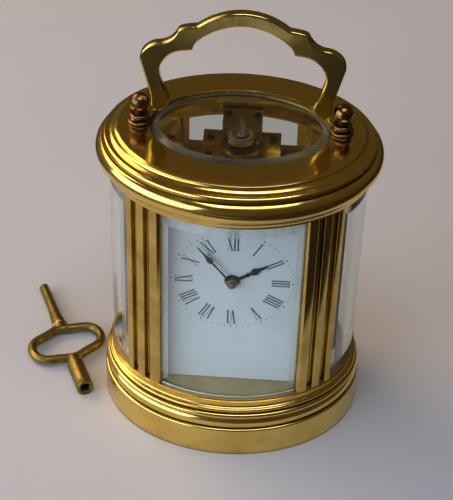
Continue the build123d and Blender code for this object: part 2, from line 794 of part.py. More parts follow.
# ================================================================ handle
def make_handle():
    """Shaped flat handle, drawn for the right half above the pivots and mirrored."""
    crown = handle_crown_height
    inner_crown = crown - handle_band
    foot_in = handle_foot_x - handle_foot_width
    arch_out = handle_arch_half_width
    step_out = arch_out + handle_step_width
    sweep_x = (step_out + handle_shoulder_x) / 2 - handle_chamfer
    sweep_height = handle_shoulder_height + handle_sweep_rise
    inner_sweep_height = sweep_height - handle_band / 2
    inner_step = (arch_out + handle_inner_step, inner_sweep_height + 2 * handle_arch_end_drop)
    leg_in = handle_shoulder_x - handle_leg_width
    rows = [
        (0, inner_crown, 0),
        (arch_out, inner_crown - handle_arch_rise - handle_arch_end_drop, -handle_arch_bulge),
        (*inner_step, -handle_inner_step_bulge),
        (step_out, inner_sweep_height, 0),
        (leg_in, handle_shoulder_height - handle_leg_drop, -handle_sweep_bulge),
        (foot_in, handle_foot_inner_rise, -handle_inner_step_bulge),
        (handle_foot_x - handle_foot_width / 2, -handle_foot_drop, handle_foot_bulge),
        (handle_foot_x, 0, handle_foot_bulge),
        (handle_foot_x, handle_foot_outer_rise, 0),
        (handle_shoulder_x, handle_shoulder_height, 0),
        (sweep_x, sweep_height, handle_sweep_bulge),
        (step_out, crown - handle_arch_rise - handle_step_drop, -handle_step_bulge),
        (arch_out, crown - handle_arch_rise, -edge_bulge),
        (0, crown, handle_arch_bulge),
    ]
    half = bulged_face(rows)
    face = half + mirror(half, Plane.YZ)
    handle = plate_y((0, handle_pivot_z), face, -handle_thickness / 2, handle_thickness / 2)
    hole = Pos(0, 0, handle_pivot_z) * Rot(0, 90, 0) * Cylinder(
        pivot_screw_radius + pivot_screw_clearance, 3 * handle_foot_x)
    head_room = Pos(0, 0, handle_pivot_z) * Rot(0, 90, 0) * Cylinder(
        pivot_screw_head_radius + pivot_screw_clearance, 2 * (foot_in + pivot_screw_recess))
    return handle - hole - head_room


def make_post(side):
    ball = post_ball_height
    root = math.sqrt(post_ball_radius ** 2 - post_neck_radius ** 2)
    post = turned_z([
        (0, -post_stud_length + glass_clearance, 0),
        (post_stud_radius, -post_stud_length + glass_clearance, 0),
        (post_stud_radius, 0, 0),
        (post_foot_radius, 0, 0),
        (post_foot_radius, post_foot_height, post_bulge),
        (post_waist_radius, post_collar_bottom, -post_bulge),
        (post_collar_radius, post_collar_bottom, 0),
        (post_collar_radius, post_collar_top, post_bulge),
        (post_neck_radius, post_collar_top, 0),
        (post_neck_radius, ball - root, 0),
        (0, ball - root, 0),
    ])
    post += Pos(0, 0, ball) * Sphere(post_ball_radius)
    depth = post_ball_radius - pivot_screw_bite
    hole = Pos(-side * (depth + 2 * post_ball_radius), 0, ball) * Rot(0, 90, 0) * Cylinder(
        pivot_screw_radius, 4 * post_ball_radius)
    return Pos(side * post_x, 0, top_height) * (post - hole)


def make_pivot_screws():
    """Shouldered screws that carry the handle's feet on the two balls."""
    inner_face = handle_foot_x - handle_foot_width
    screws = []
    for side in (-1, 1):
        tip = post_x - post_ball_radius + pivot_screw_bite - glass_clearance
        head = inner_face + pivot_screw_recess
        one = screw(pivot_screw_radius, tip - head, pivot_screw_head_radius, pivot_screw_head_height)
        screws.append(Pos(side * head, 0, handle_pivot_z) * Rot(0, -side * 90, 0) * one)
    return Compound(screws)


# ================================================================ dial and hands
def make_dial():
    face = Rectangle(2 * dial_half_width, dial_top_height - base_height)
    middle = (dial_top_height + base_height) / 2
    dial = plate_y((0, middle), face, dial_front_y, dial_front_y + dial_thickness)
    dial -= rod_y(centre_spot, dial_hole_radius, dial_front_y, dial_front_y + dial_thickness)
    for side in (-1, 1):
        for height in (base_height + dial_foot_bottom_inset, dial_top_height - dial_foot_top_inset):
            spot = (side * dial_foot_x, height)
            dial += rod_y(spot, dial_foot_radius, dial_front_y + dial_thickness, front_plate_y)
    return dial


def make_hand(length, bore, front, angle, pipe):
    """Fine hand with a boss, a bead and a lozenge, pointing at an angle clockwise from twelve."""
    boss = Circle(hand_boss_radius)
    stem = Pos(0, length / 2) * Rectangle(hand_stem_width, length)
    bead = Pos(0, hand_bead_place * length) * Circle(hand_bead_radius)
    wide = (hand_lozenge_half_width, hand_lozenge_middle * length)
    lozenge = make_face(Polyline(
        (0, hand_lozenge_start * length), wide, (0, length), (-wide[0], wide[1]), close=True))
    tail = Pos(0, -hand_boss_radius) * Circle(hand_bead_radius)
    outline = boss + stem + bead + lozenge + tail
    outline -= Circle(bore)
    hand = plate_y(centre_spot, Rot(0, 0, -angle) * outline, front, front + hand_thickness)
    if pipe:
        hand += rod_y(centre_spot, pipe, front, hour_wheel_front)
        hand -= rod_y(centre_spot, bore, front, hour_wheel_front)
    return hand


# ================================================================ motion work
hour_hand_front = dial_front_y - hand_gap - hand_thickness
minute_hand_front = hour_hand_front - hand_gap - hand_thickness
cannon_back = front_plate_y - end_shake
cannon_front = cannon_back - wheel_thickness - cannon_overhang
minute_wheel_back = cannon_back - minute_wheel_shake
minute_wheel_front = minute_wheel_back - wheel_thickness
hour_wheel_back = cannon_front - hour_wheel_gap
hour_wheel_front = hour_wheel_back - wheel_thickness


def make_centre_arbor():
    """Arbor that carries the hands, with the setting square at the back."""
    collar_front = back_plate_y + end_shake
    collar_back = back_plate_y + 2 * wheel_thickness
    arbor = rod_y(centre_spot, arbor_radius, minute_hand_front - hand_thickness, collar_front)
    arbor += rod_y(centre_spot, centre_tube_radius, collar_front, collar_back)
    square = Rectangle(setting_square, setting_square)
    return arbor + plate_y(centre_spot, square, collar_front, back_plate_y + setting_square_reach)


def make_cannon_pinion():
    """Cannon pinion on the centre arbor, its pipe carrying the minute hand."""
    phase = line_angle(centre_spot, minute_spot) + 180 / cannon_leaves
    pinion = pinion_face(cannon_leaves, motion_module, phase)
    cannon = plate_y(centre_spot, pinion, cannon_front, cannon_back)
    cannon += rod_y(centre_spot, cannon_pipe_radius, minute_hand_front + hand_thickness, cannon_back)
    return cannon - rod_y(centre_spot, arbor_radius, minute_hand_front, cannon_back)


def make_minute_wheel():
    up = line_angle(minute_spot, centre_spot)
    wheel = crossed_out(gear_face(minute_wheel_teeth, motion_module, phase=up),
                        motion_module * minute_wheel_teeth / 2 - wheel_rim_width, minute_hub_radius)
    body = plate_y(minute_spot, wheel, minute_wheel_front, minute_wheel_back)
    pinion = pinion_face(minute_pinion_leaves, hour_module, up + 180 / minute_pinion_leaves)
    body += plate_y(minute_spot, pinion, hour_wheel_front, minute_wheel_front)
    return body - rod_y(minute_spot, minute_stud_radius + running_clearance, hour_wheel_front, cannon_back)


def make_minute_stud():
    """Stud screwed into the front plate, with a washer that keeps the minute wheel on."""
    washer_back = hour_wheel_front - end_shake
    washer_front = washer_back - stud_washer_thickness
    stud = rod_y(minute_spot, minute_stud_radius, washer_front, front_plate_back_y)
    return stud + rod_y(minute_spot, stud_washer_radius, washer_front, washer_back)


def make_hour_wheel():
    down = line_angle(centre_spot, minute_spot)
    wheel = crossed_out(gear_face(hour_wheel_teeth, hour_module, phase=down),
                        hour_module * hour_wheel_teeth / 2 - wheel_rim_width, hour_hub_radius)
    body = plate_y(centre_spot, wheel, hour_wheel_front, hour_wheel_back)
    bore = cannon_pipe_radius + running_clearance
    return body - rod_y(centre_spot, bore, hour_wheel_front, hour_wheel_back)


# ================================================================ movement frame
arbor_bores = [
    (third_spot, pivot_radius + running_clearance),
    (contrate_spot, pivot_radius + running_clearance),
    (centre_spot, centre_tube_radius + running_clearance),
    (barrel_spot, barrel_arbor_radius + running_clearance),
]
plate_pillar_spots = [
    (side * plate_pillar_x, height)
    for side in (-1, 1)
    for height in (base_height + plate_pillar_inset, platform_bottom - plate_pillar_inset)
]


def make_movement_plate(front, back):
    middle = (base_height + platform_bottom) / 2
    plate = plate_y((0, middle), Rectangle(2 * plate_half_width, plate_height), front, back)
    for spot, radius in arbor_bores:
        plate -= rod_y(spot, radius, front, back)
    for spot in plate_pillar_spots:
        plate -= rod_y(spot, plate_screw_radius + screw_clearance, front, back)
    for spot in platform_screw_spots():
        if front < spot[1] < back:
            plate -= rod_z(*spot, small_screw_radius, platform_bottom - small_screw_length, platform_bottom)
    return plate


def make_front_plate():
    plate = make_movement_plate(front_plate_y, front_plate_back_y)
    return plate - rod_y(minute_spot, minute_stud_radius, front_plate_y, front_plate_back_y)


def make_back_plate():
    plate = make_movement_plate(back_plate_front_y, back_plate_y)
    plate -= rod_y(click_spot, click_screw_radius, back_plate_front_y, back_plate_y)
    return plate


def make_plate_pillars():
    pillars = []
    for spot in plate_pillar_spots:
        pillar = rod_y(spot, plate_pillar_radius, front_plate_back_y, back_plate_front_y)
        depth = plate_screw_length - plate_thickness
        pillar -= rod_y(spot, plate_screw_radius, front_plate_back_y, front_plate_back_y + depth)
        pillar -= rod_y(spot, plate_screw_radius, back_plate_front_y - depth, back_plate_front_y)
        if spot[1] < case_middle_height:
            top = spot[1] - plate_pillar_radius + movement_screw_bite
            pillar -= rod_z(spot[0], movement_middle_y, movement_screw_radius, base_height, top)
        pillars.append(pillar)
    return Compound(pillars)


def make_plate_screws():
    one = screw(plate_screw_radius, plate_screw_length - glass_clearance,
                plate_screw_head_radius, plate_screw_head_height)
    front = [Pos(x, front_plate_y, z) * Rot(90, 0, 0) * one for x, z in plate_pillar_spots]
    back = [Pos(x, back_plate_y, z) * Rot(-90, 0, 0) * one for x, z in plate_pillar_spots]
    return Compound(front + back)


def make_movement_screws():
    """Screws from below the base into the two lower pillars."""
    seat = base_height - base_floor_thickness
    tip = base_height + plate_pillar_inset - plate_pillar_radius + movement_screw_bite
    one = Rot(180, 0, 0) * screw(movement_screw_radius, tip - seat - glass_clearance,
                                 movement_screw_head_radius, movement_screw_head_height)
    return Compound([Pos(side * plate_pillar_x, movement_middle_y, seat) * one for side in (-1, 1)])


# ================================================================ going train
def wheel_layer(place):
    return front_plate_back_y + place


def make_train_wheel(spot, teeth, module, phase, front):
    """Crossed-out wheel with its hub."""
    face = gear_face(teeth, module, phase=phase)
    face = crossed_out(face, module * teeth / 2 - wheel_rim_width, wheel_hub_radius)
    return plate_y(spot, face, front, front + wheel_thickness)


def pivoted_arbor(spot):
    """Arbor between the plates with a pivot in each."""
    body = rod_y(spot, arbor_radius, front_plate_back_y + end_shake, back_plate_front_y - end_shake)
    return body + rod_y(spot, pivot_radius, front_plate_y + end_shake, back_plate_y - end_shake)


def make_centre_wheel():
    """Hollow centre arbor with the pinion that the great wheel drives and the centre wheel."""
    body = rod_y(centre_spot, centre_tube_radius, front_plate_y + end_shake, back_plate_y - end_shake)
    leaf = pinion_face(centre_pinion_leaves, barrel_module,
                       line_angle(centre_spot, barrel_spot) + 180 / centre_pinion_leaves)
    start = wheel_layer(great_wheel_place) - (pinion_length - wheel_thickness) / 2
    body += plate_y(centre_spot, leaf, start, start + pinion_length)
    body += make_train_wheel(centre_spot, centre_wheel_teeth, centre_module,
                             line_angle(centre_spot, third_spot), wheel_layer(centre_wheel_place))
    return body - rod_y(centre_spot, arbor_radius + running_clearance, front_plate_y, back_plate_y)


def make_third_wheel():
    body = pivoted_arbor(third_spot)
    leaf = pinion_face(third_pinion_leaves, centre_module,
                       line_angle(third_spot, centre_spot) + 180 / third_pinion_leaves)
    start = wheel_layer(centre_wheel_place) - (pinion_length - wheel_thickness) / 2
    body += plate_y(third_spot, leaf, start, start + pinion_length)
    body += make_train_wheel(third_spot, third_wheel_teeth, third_module,
                             line_angle(third_spot, contrate_spot), wheel_layer(third_wheel_place))
    return body


def make_contrate_wheel():
    """Crown wheel whose teeth stand towards the back and turn the upright escape pinion."""
    body = pivoted_arbor(contrate_spot)
    leaf = pinion_face(contrate_pinion_leaves, third_module,
                       line_angle(contrate_spot, third_spot) + 180 / contrate_pinion_leaves)
    start = wheel_layer(third_wheel_place) - (pinion_length - wheel_thickness) / 2
    body += plate_y(contrate_spot, leaf, start, start + pinion_length)
    front = crown_tip_y - crown_tooth_height - wheel_thickness
    outer = contrate_radius + crown_tooth_band / 2
    web = crossed_out(Circle(outer), outer - wheel_rim_width, wheel_hub_radius)
    body += plate_y(contrate_spot, web, front, front + wheel_thickness)
    tooth = Box(crown_tooth_fill * math.pi * contrate_module, crown_tooth_height, crown_tooth_band,
                align=(Align.CENTER, Align.MIN, Align.CENTER))
    turn = 360 / contrate_wheel_teeth
    for count in range(contrate_wheel_teeth):
        body += (Pos(contrate_spot[0], crown_tip_y - crown_tooth_height, contrate_spot[1])
                 * Rot(0, count * turn, 0) * Pos(0, 0, contrate_radius) * tooth)
    return body


# ================================================================ barrel and winding work
def make_barrel():
    """Great wheel and drum in one, open at the back for the cover."""
    front = wheel_layer(great_wheel_place)
    wheel = gear_face(great_wheel_teeth, barrel_module, phase=line_angle(barrel_spot, centre_spot))
    drum = plate_y(barrel_spot, wheel, front, front + wheel_thickness)
    drum += rod_y(barrel_spot, barrel_radius, front, front + barrel_drum_length)
    floor = front + wheel_thickness
    drum -= rod_y(barrel_spot, barrel_radius - barrel_wall, floor, front + barrel_drum_length)
    return drum - rod_y(barrel_spot, barrel_arbor_radius + running_clearance, front, floor)


def make_barrel_cover():
    back = wheel_layer(great_wheel_place) + barrel_drum_length
    cover = rod_y(barrel_spot, barrel_radius - barrel_wall, back - wheel_thickness, back)
    return cover - rod_y(barrel_spot, barrel_arbor_radius + running_clearance, back - wheel_thickness, back)


def spiral_strip(inner, outer, turns, leaf):
    """Plan of a flat spiral spring from an inner to an outer radius."""
    steps = turns * spring_points_per_turn
    inside = []
    outside = []
    for step in range(steps + 1):
        turn = 2 * math.pi * turns * step / steps
        radius = inner + (outer - inner) * step / steps
        inside.append(((radius - leaf / 2) * math.cos(turn), (radius - leaf / 2) * math.sin(turn)))
        outside.append(((radius + leaf / 2) * math.cos(turn), (radius + leaf / 2) * math.sin(turn)))
    ends = [Line(inside[-1], outside[-1]), Line(outside[0], inside[0])]
    return make_face(Wire([Spline(*inside), ends[0], Spline(*outside[::-1]), ends[1]]))


def make_mainspring():
    front = wheel_layer(great_wheel_place) + wheel_thickness + barrel_hook_gap
    back = wheel_layer(great_wheel_place) + barrel_drum_length - wheel_thickness - barrel_hook_gap
    outer = barrel_radius - barrel_wall - mainspring_leaf / 2 - barrel_hook_gap
    inner = barrel_arbor_radius + mainspring_inner_gap
    return plate_y(barrel_spot, spiral_strip(inner, outer, mainspring_turns, mainspring_leaf), front, back)


def make_barrel_arbor():
    """Winding arbor: its square takes the thick end of the key."""
    arbor = rod_y(barrel_spot, barrel_arbor_radius, front_plate_y + end_shake, ratchet_back)
    square = Rectangle(winding_square, winding_square)
    return arbor + plate_y(barrel_spot, square, ratchet_back, back_plate_y + winding_square_reach)


def make_ratchet():
    points = []
    pitch = 2 * math.pi / ratchet_teeth
    root_radius = ratchet_radius - ratchet_tooth_depth
    for tooth in range(ratchet_teeth):
        for radius, share in ((ratchet_radius, 0), (root_radius, ratchet_face_share)):
            turn = (tooth + share) * pitch
            points.append((radius * math.cos(turn), radius * math.sin(turn)))
    face = make_face(Polyline(*points, close=True)) - Circle(barrel_arbor_radius)
    return plate_y(barrel_spot, face, ratchet_front, ratchet_back)


def make_click():
    """Click whose nose rides on the ratchet's crests."""
    nose_x = barrel_spot[0] - ratchet_radius - ratchet_lift - click_spot[0]
    nose_z = barrel_spot[1] - click_spot[1]
    heel = (nose_x - click_width, nose_z + click_width / 3)
    arm = make_face(Polyline((click_shoulder, 0), (nose_x, nose_z), heel, (-click_shoulder, 0), close=True))
    face = Circle(click_width) + arm
    click = plate_y(click_spot, face, ratchet_front, ratchet_back)
    return click - rod_y(click_spot, click_screw_radius + running_clearance, ratchet_front, ratchet_back)


def make_click_screw():
    length = ratchet_back - back_plate_front_y
    one = screw(click_screw_radius, length, click_screw_head_radius, click_screw_head_height)
    return Pos(click_spot[0], ratchet_back + end_shake, click_spot[1]) * Rot(-90, 0, 0) * one


def make_click_spring():
    """Thin blade behind the click, with a foot on the back plate."""
    root = (click_spot[0] - click_width - click_spring_foot_x, click_spot[1] + click_spring_foot_rise)
    end = (click_spot[0] - click_width - click_spring_gap, barrel_spot[1] + click_spring_end_rise)
    foot = plate_y(root, Circle(click_spring_foot_radius), back_plate_y, ratchet_back)
    length = math.hypot(end[0] - root[0], end[1] - root[1])
    blade = Pos(length / 2, 0) * Rectangle(length, click_spring_thickness)
    blade = Rot(0, 0, line_angle(root, end)) * blade
    return foot + plate_y(root, blade, ratchet_front, ratchet_back)


# ================================================================ platform escapement
balance_spot = (0.0, balance_y)
escape_spot = (escape_x, escape_y)
lever_span = pallet_ratio * escape_radius
lever_line = line_angle(escape_spot, balance_spot)
lever_spot = (
    escape_x + lever_span * math.cos(math.radians(lever_line)),
    escape_y + lever_span * math.sin(math.radians(lever_line)),
)
lever_cock_foot = (lever_cock_inset - platform_half_width, lever_spot[1])
escape_cock_foot = (platform_half_width - escape_cock_inset, escape_y - escape_cock_reach)
escape_level = platform_top + escape_lift
lower_cock_level = platform_top + lower_cock_lift
cock_level = platform_top + cock_underside_lift
cock_top = platform_top + cock_top_lift
hairspring_level = platform_top + hairspring_lift
index_level = cock_top
potence_spot = (escape_x, escape_y + potence_reach)


def platform_screw_spots():
    """Corners of the platform where it is screwed to the plates' top edges."""
    front = front_plate_y + plate_thickness / 2
    back = back_plate_y - plate_thickness / 2
    return [(side * (platform_half_width - 2 * small_screw_head_radius), y)
            for side in (-1, 1) for y in (front, back)]


def make_platform():
    depth = platform_back_y - platform_front_y
    middle = (platform_back_y + platform_front_y) / 2
    plate = plate_z(0, middle, Rectangle(2 * platform_half_width, depth), platform_bottom, platform_top)
    plate -= rod_z(*escape_spot, escape_pinion_radius + 2 * contrate_module, platform_bottom, platform_top)
    for spot in (balance_spot, lever_spot):
        plate -= rod_z(*spot, fine_pivot_radius + running_clearance, platform_bottom, platform_top)
    cock_feet = [lever_cock_foot, escape_cock_foot, potence_spot]
    for spot in platform_screw_spots() + cock_screw_spots() + cock_feet:
        plate -= rod_z(*spot, small_screw_radius, platform_bottom, platform_top)
    return plate


def cock_screw_spots():
    y = platform_back_y - cock_foot_depth / 2
    return [(side * (cock_half_width - cock_screw_inset), y) for side in (-1, 1)]


def make_small_cock(foot, spot):
    """Cock with a foot on the platform and an arm to the pivot that it holds."""
    length = math.hypot(spot[0] - foot[0], spot[1] - foot[1])
    arm = Pos(length / 2, 0) * Rectangle(length, lower_cock_width)
    arm = Rot(0, 0, line_angle(foot, spot)) * arm
    end = Pos(spot[0] - foot[0], spot[1] - foot[1]) * Circle(lower_cock_width / 2)
    face = arm + end + Circle(lower_cock_foot_radius)
    top = lower_cock_level + lower_cock_thickness
    cock = plate_z(*foot, face, lower_cock_level, top)
    cock += rod_z(*foot, lower_cock_foot_radius, platform_top, top)
    cock -= rod_z(*foot, small_screw_radius + screw_clearance, platform_top, top)
    return cock - rod_z(*spot, fine_pivot_radius + running_clearance, lower_cock_level, top)


def make_balance_cock():
    """Wide arched cock over the balance, with its foot along the platform's back edge."""
    back = platform_back_y - balance_y
    foot_front = back - cock_foot_depth
    half = cock_half_width
    nose = cock_nose_radius
    bridge = make_face(Polyline(
        (-half, back), (half, back), (half, foot_front - cock_shoulder_run), (nose, cock_neck_run),
        (-nose, cock_neck_run), (-half, foot_front - cock_shoulder_run), close=True))
    cock = plate_z(*balance_spot, bridge + Circle(nose), cock_level, cock_top)
    foot = Pos(0, back - cock_foot_depth / 2) * Rectangle(2 * half, cock_foot_depth)
    cock += plate_z(*balance_spot, foot, platform_top, cock_level)
    cock -= rod_z(*balance_spot, fine_pivot_radius + running_clearance, cock_level, cock_top)
    for spot in cock_screw_spots():
        cock -= rod_z(*spot, small_screw_radius + screw_clearance, platform_top, cock_top)
    return cock


def make_platform_screws():
    """Screws of the platform, its cocks and the bracket below it."""
    def set_screw(spot, seat, length):
        one = screw(small_screw_radius, length, small_screw_head_radius, small_screw_head_height)
        return Pos(*spot, seat) * one

    plain = platform_screw_spots() + [potence_spot]
    low = lower_cock_level + lower_cock_thickness
    screws = [set_screw(spot, platform_top, small_screw_length + platform_thickness) for spot in plain]
    screws += [set_screw(spot, low, low - platform_bottom) for spot in (lever_cock_foot, escape_cock_foot)]
    screws += [set_screw(spot, cock_top, cock_top - platform_bottom) for spot in cock_screw_spots()]
    return Compound(screws)


def make_potence():
    """Bracket under the platform that holds the escape arbor's lower pivot."""
    bottom = platform_bottom - potence_drop
    front = -escape_pinion_radius
    back = potence_reach + potence_half_width
    foot = Pos(0, (front + back) / 2) * Rectangle(2 * potence_half_width, back - front)
    bracket = plate_z(*escape_spot, foot, bottom, bottom + potence_thickness)
    leg = Pos(0, potence_reach) * Rectangle(2 * potence_half_width, 2 * potence_half_width)
    bracket += plate_z(*escape_spot, leg, bottom, platform_bottom)
    bracket -= rod_z(*escape_spot, fine_pivot_radius + running_clearance, bottom, bottom + potence_thickness)
    thread_bottom = platform_bottom - small_screw_length
    return bracket - rod_z(*potence_spot, small_screw_radius, thread_bottom, platform_bottom)


def make_escape_wheel():
    """Upright arbor with a wheel of pointed teeth above and the pinion that the crown teeth turn."""
    points = []
    pitch = 360 / escape_tooth_count
    for tooth in range(escape_tooth_count):
        for radius, share in escape_tooth_form:
            turn = math.radians((tooth + share) * pitch)
            points.append((radius * escape_radius * math.cos(turn), radius * escape_radius * math.sin(turn)))
    face = crossed_out(make_face(Polyline(*points, close=True)), escape_rim_inner_radius, escape_hub_radius)
    body = plate_z(*escape_spot, face, escape_level, escape_level + escape_thickness)
    low = platform_bottom - potence_drop
    body += rod_z(*escape_spot, fine_arbor_radius, low + potence_thickness + end_shake,
                  lower_cock_level - end_shake)
    body += rod_z(*escape_spot, fine_pivot_radius, low + end_shake,
                  lower_cock_level + lower_cock_thickness - end_shake)
    leaf = pinion_face(escape_pinion_leaves, contrate_module, -90 + 180 / escape_pinion_leaves)
    top = contrate_spot[1] + contrate_radius
    return body + plate_z(*escape_spot, leaf, top - crown_tooth_band, top + crown_tooth_band)


def make_lever():
    """Lever with its fork towards the balance and two pallet stones beside the escape wheel."""
    fork_reach = math.dist(lever_spot, balance_spot) - fine_arbor_radius - impulse_reach / 2
    arm = Pos(fork_reach / 2, 0) * Rectangle(fork_reach, lever_width)
    horn = Pos(fork_reach - lever_width / 2, 0) * Rectangle(lever_width, 2 * lever_width)
    notch = Pos(fork_reach, 0) * Rectangle(2 * lever_width, fork_notch_width)
    stone_radius = escape_radius + pallet_clearance
    cos = math.cos(math.radians(pallet_angle))
    sin = math.sin(math.radians(pallet_angle))
    stone_length = lever_width
    beam_reach = pallet_beam_share * stone_length
    pallets = Sketch()
    for side in (-1, 1):
        spot = (stone_radius * cos - lever_span, side * stone_radius * sin)
        stone = Pos(stone_length / 2, 0) * Rectangle(stone_length, lever_width / 2)
        pallets += Pos(*spot) * Rot(0, 0, side * pallet_angle) * stone
        end = (spot[0] + beam_reach * cos, spot[1] + side * beam_reach * sin)
        beam = Rectangle(math.hypot(*end), pallet_beam_width)
        pallets += Pos(end[0] / 2, end[1] / 2) * Rot(0, 0, line_angle((0, 0), end)) * beam
    face = arm + horn - notch + pallets + Circle(lever_hub_radius)
    body = plate_z(*lever_spot, Rot(0, 0, lever_line) * face, escape_level, escape_level + lever_thickness)
    body += rod_z(*lever_spot, fine_arbor_radius, platform_top + end_shake, lower_cock_level - end_shake)
    return body + rod_z(*lever_spot, fine_pivot_radius, platform_bottom + end_shake,
                        lower_cock_level + lower_cock_thickness - end_shake)


def make_balance_wheel():
    level = platform_top + balance_lift
    rim = Circle(balance_radius) - Circle(balance_radius - balance_rim_width)
    arm = Rectangle(2 * balance_radius - balance_rim_width, balance_arm_width)
    face = rim + Rot(0, 0, lever_line) * arm + Circle(balance_hub_radius)
    face -= Circle(fine_arbor_radius)
    return plate_z(*balance_spot, face, level, level + balance_thickness)


def make_balance_staff():
    """Staff with the roller, its impulse pin and the collet for the hairspring."""
    level = platform_top + roller_lift
    staff = rod_z(*balance_spot, fine_pivot_radius, platform_bottom + end_shake, cock_top - end_shake)
    staff += rod_z(*balance_spot, fine_arbor_radius, platform_top + end_shake, cock_level - end_shake)
    staff += rod_z(*balance_spot, roller_radius, level, level + roller_thickness)
    staff += rod_z(*balance_spot, collet_radius, hairspring_level, hairspring_level + hairspring_height)
    turn = math.radians(lever_line + 180)
    pin = (impulse_reach * math.cos(turn), balance_y + impulse_reach * math.sin(turn))
    gap = level - escape_level - lever_thickness - running_clearance
    return staff + rod_z(*pin, impulse_pin_radius, level - gap, level)


def make_hairspring():
    face = spiral_strip(hairspring_inner_radius, hairspring_outer_radius, hairspring_turns, hairspring_leaf)
    return plate_z(*balance_spot, face, hairspring_level, hairspring_level + hairspring_height)


def make_hairspring_stud():
    """Stud under the cock that holds the hairspring's outer end."""
    x = hairspring_outer_radius + hairspring_leaf / 2 + small_screw_radius
    return rod_z(x, balance_y, small_screw_radius, hairspring_level, cock_level)


def make_index():
    """Regulator index: a ring round the jewel with a tail along the cock."""
    ring = Circle(index_ring_radius) - Circle(index_ring_radius - index_ring_width)
    start = index_ring_radius - index_ring_width / 2
    half = index_tail_width / 2
    tip = index_tip_width / 2
    tail = make_face(Polyline((-half, start), (half, start), (tip, index_tail_length),
                              (-tip, index_tail_length), close=True))
    return plate_z(*balance_spot, ring + tail, index_level, index_level + index_thickness)


def make_jewel():
    jewel = Circle(jewel_radius)
    return plate_z(*balance_spot, jewel, cock_top, cock_top + jewel_height)


# ================================================================ winding key
def square_socket(side, depth):
    return Box(side, side, depth, align=(Align.CENTER, Align.CENTER, Align.MAX))


def make_key():
    """Double-ended key: a large square socket on one end of the bow and a small one on the other."""
    wire = key_wire_radius
    lobe = (key_lobe_x, key_lobe_height - wire)
    waist = key_waist_height - wire
    neck = (key_neck_x, key_neck_height - wire)
    path = Spline((0, waist), neck, lobe, (key_bow_half_width - wire, 0),
                  (lobe[0], -lobe[1]), (neck[0], -neck[1]), (0, -waist),
                  tangents=[(1, 0), (-1, 0)])
    half = sweep(Plane(origin=path @ 0, z_dir=path % 0) * Circle(wire), path=path)
    bow = Rot(0, 0, key_bow_turn) * (half + mirror(half, Plane.YZ))
    thick = turned_z([
        (0, waist, 0),
        (key_stem_radius, waist, 0),
        (key_stem_radius, key_barrel_reach - key_barrel_length, 0),
        (key_barrel_radius, key_barrel_reach - key_barrel_length, 0),
        (key_barrel_radius, key_barrel_reach, 0),
        (0, key_barrel_reach, 0),
    ])
    thick -= Pos(0, 0, key_barrel_reach) * square_socket(winding_square + square_clearance, key_socket_depth)
    thin = turned_z([
        (0, waist, 0),
        (key_stem_radius, waist, 0),
        (key_tip_radius, waist + key_stem_length, edge_bulge),
        (key_tip_radius, key_tip_reach, 0),
        (0, key_tip_reach, 0),
    ])
    thin -= Pos(0, 0, key_tip_reach) * square_socket(setting_square + square_clearance, key_tip_socket_depth)
    key = bow + Rot(90, 0, 0) * thick + Rot(-90, 0, 0) * thin
    tilt = math.degrees(math.atan((key_barrel_radius - key_tip_radius) / (key_barrel_reach + key_tip_reach)))
    key = Pos(key_x, key_y, 0) * Rot(0, 0, key_turn) * Rot(-tilt, 0, 0) * key
    return Pos(0, 0, -key.bounding_box().min.Z) * key


# ================================================================ the pieces
nodes = {
    "base_moulding": make_base(),
    "base_cover": make_base_cover(),
    "top_moulding": make_top(),
    "pilaster_front_left": make_pilaster(-1, 1),
    "pilaster_front_right": make_pilaster(1, 1),
    "pilaster_back_left": make_pilaster(-1, -1),
    "pilaster_back_right": make_pilaster(1, -1),
    "front_glass": make_pane(-pilaster_inner_angle, pilaster_inner_angle),
    "right_glass": make_pane(pilaster_outer_angle, 180 - pilaster_outer_angle),
    "left_glass": make_pane(180 + pilaster_outer_angle, 360 - pilaster_outer_angle),
    "top_glass": make_top_glass(),
    "case_screws": make_case_screws(),
    "door_frame": make_door_frame(),
    "door_glass": make_door_glass(),
    "door_knob": make_door_knob(),
    "door_hinge_pins": make_hinge_pins(),
    "handle": make_handle(),
    "handle_post_left": make_post(-1),
    "handle_post_right": make_post(1),
    "handle_pivot_screws": make_pivot_screws(),
    "dial_plate": make_dial(),
    "hour_hand": make_hand(hour_hand_length, cannon_pipe_radius + running_clearance,
                           hour_hand_front, hour_hand_angle, hour_pipe_radius),
    "minute_hand": make_hand(minute_hand_length, arbor_radius, minute_hand_front, minute_hand_angle, None),
    "centre_arbor": make_centre_arbor(),
    "cannon_pinion": make_cannon_pinion(),
    "minute_wheel": make_minute_wheel(),
    "minute_stud": make_minute_stud(),
    "hour_wheel": make_hour_wheel(),
    "front_plate": make_front_plate(),
    "back_plate": make_back_plate(),
    "plate_pillars": make_plate_pillars(),
    "plate_screws": make_plate_screws(),
    "movement_screws": make_movement_screws(),
    "centre_wheel": make_centre_wheel(),
    "third_wheel": make_third_wheel(),
    "contrate_wheel": make_contrate_wheel(),
    "barrel": make_barrel(),
    "barrel_cover": make_barrel_cover(),
    "mainspring": make_mainspring(),
    "barrel_arbor": make_barrel_arbor(),
    "ratchet_wheel": make_ratchet(),
    "click": make_click(),
    "click_screw": make_click_screw(),
    "click_spring": make_click_spring(),
    "platform_plate": make_platform(),
    "platform_screws": make_platform_screws(),
    "balance_cock": make_balance_cock(),
    "lever_cock": make_small_cock(lever_cock_foot, lever_spot),
    "escape_cock": make_small_cock(escape_cock_foot, escape_spot),
    "escape_bracket": make_potence(),
    "escape_wheel": make_escape_wheel(),
    "pallet_lever": make_lever(),
    "balance_wheel": make_balance_wheel(),
    "balance_staff": make_balance_staff(),
    "hairspring": make_hairspring(),
    "hairspring_stud": make_hairspring_stud(),
    "regulator_index": make_index(),
    "balance_jewel": make_jewel(),
    "winding_key": make_key(),
}

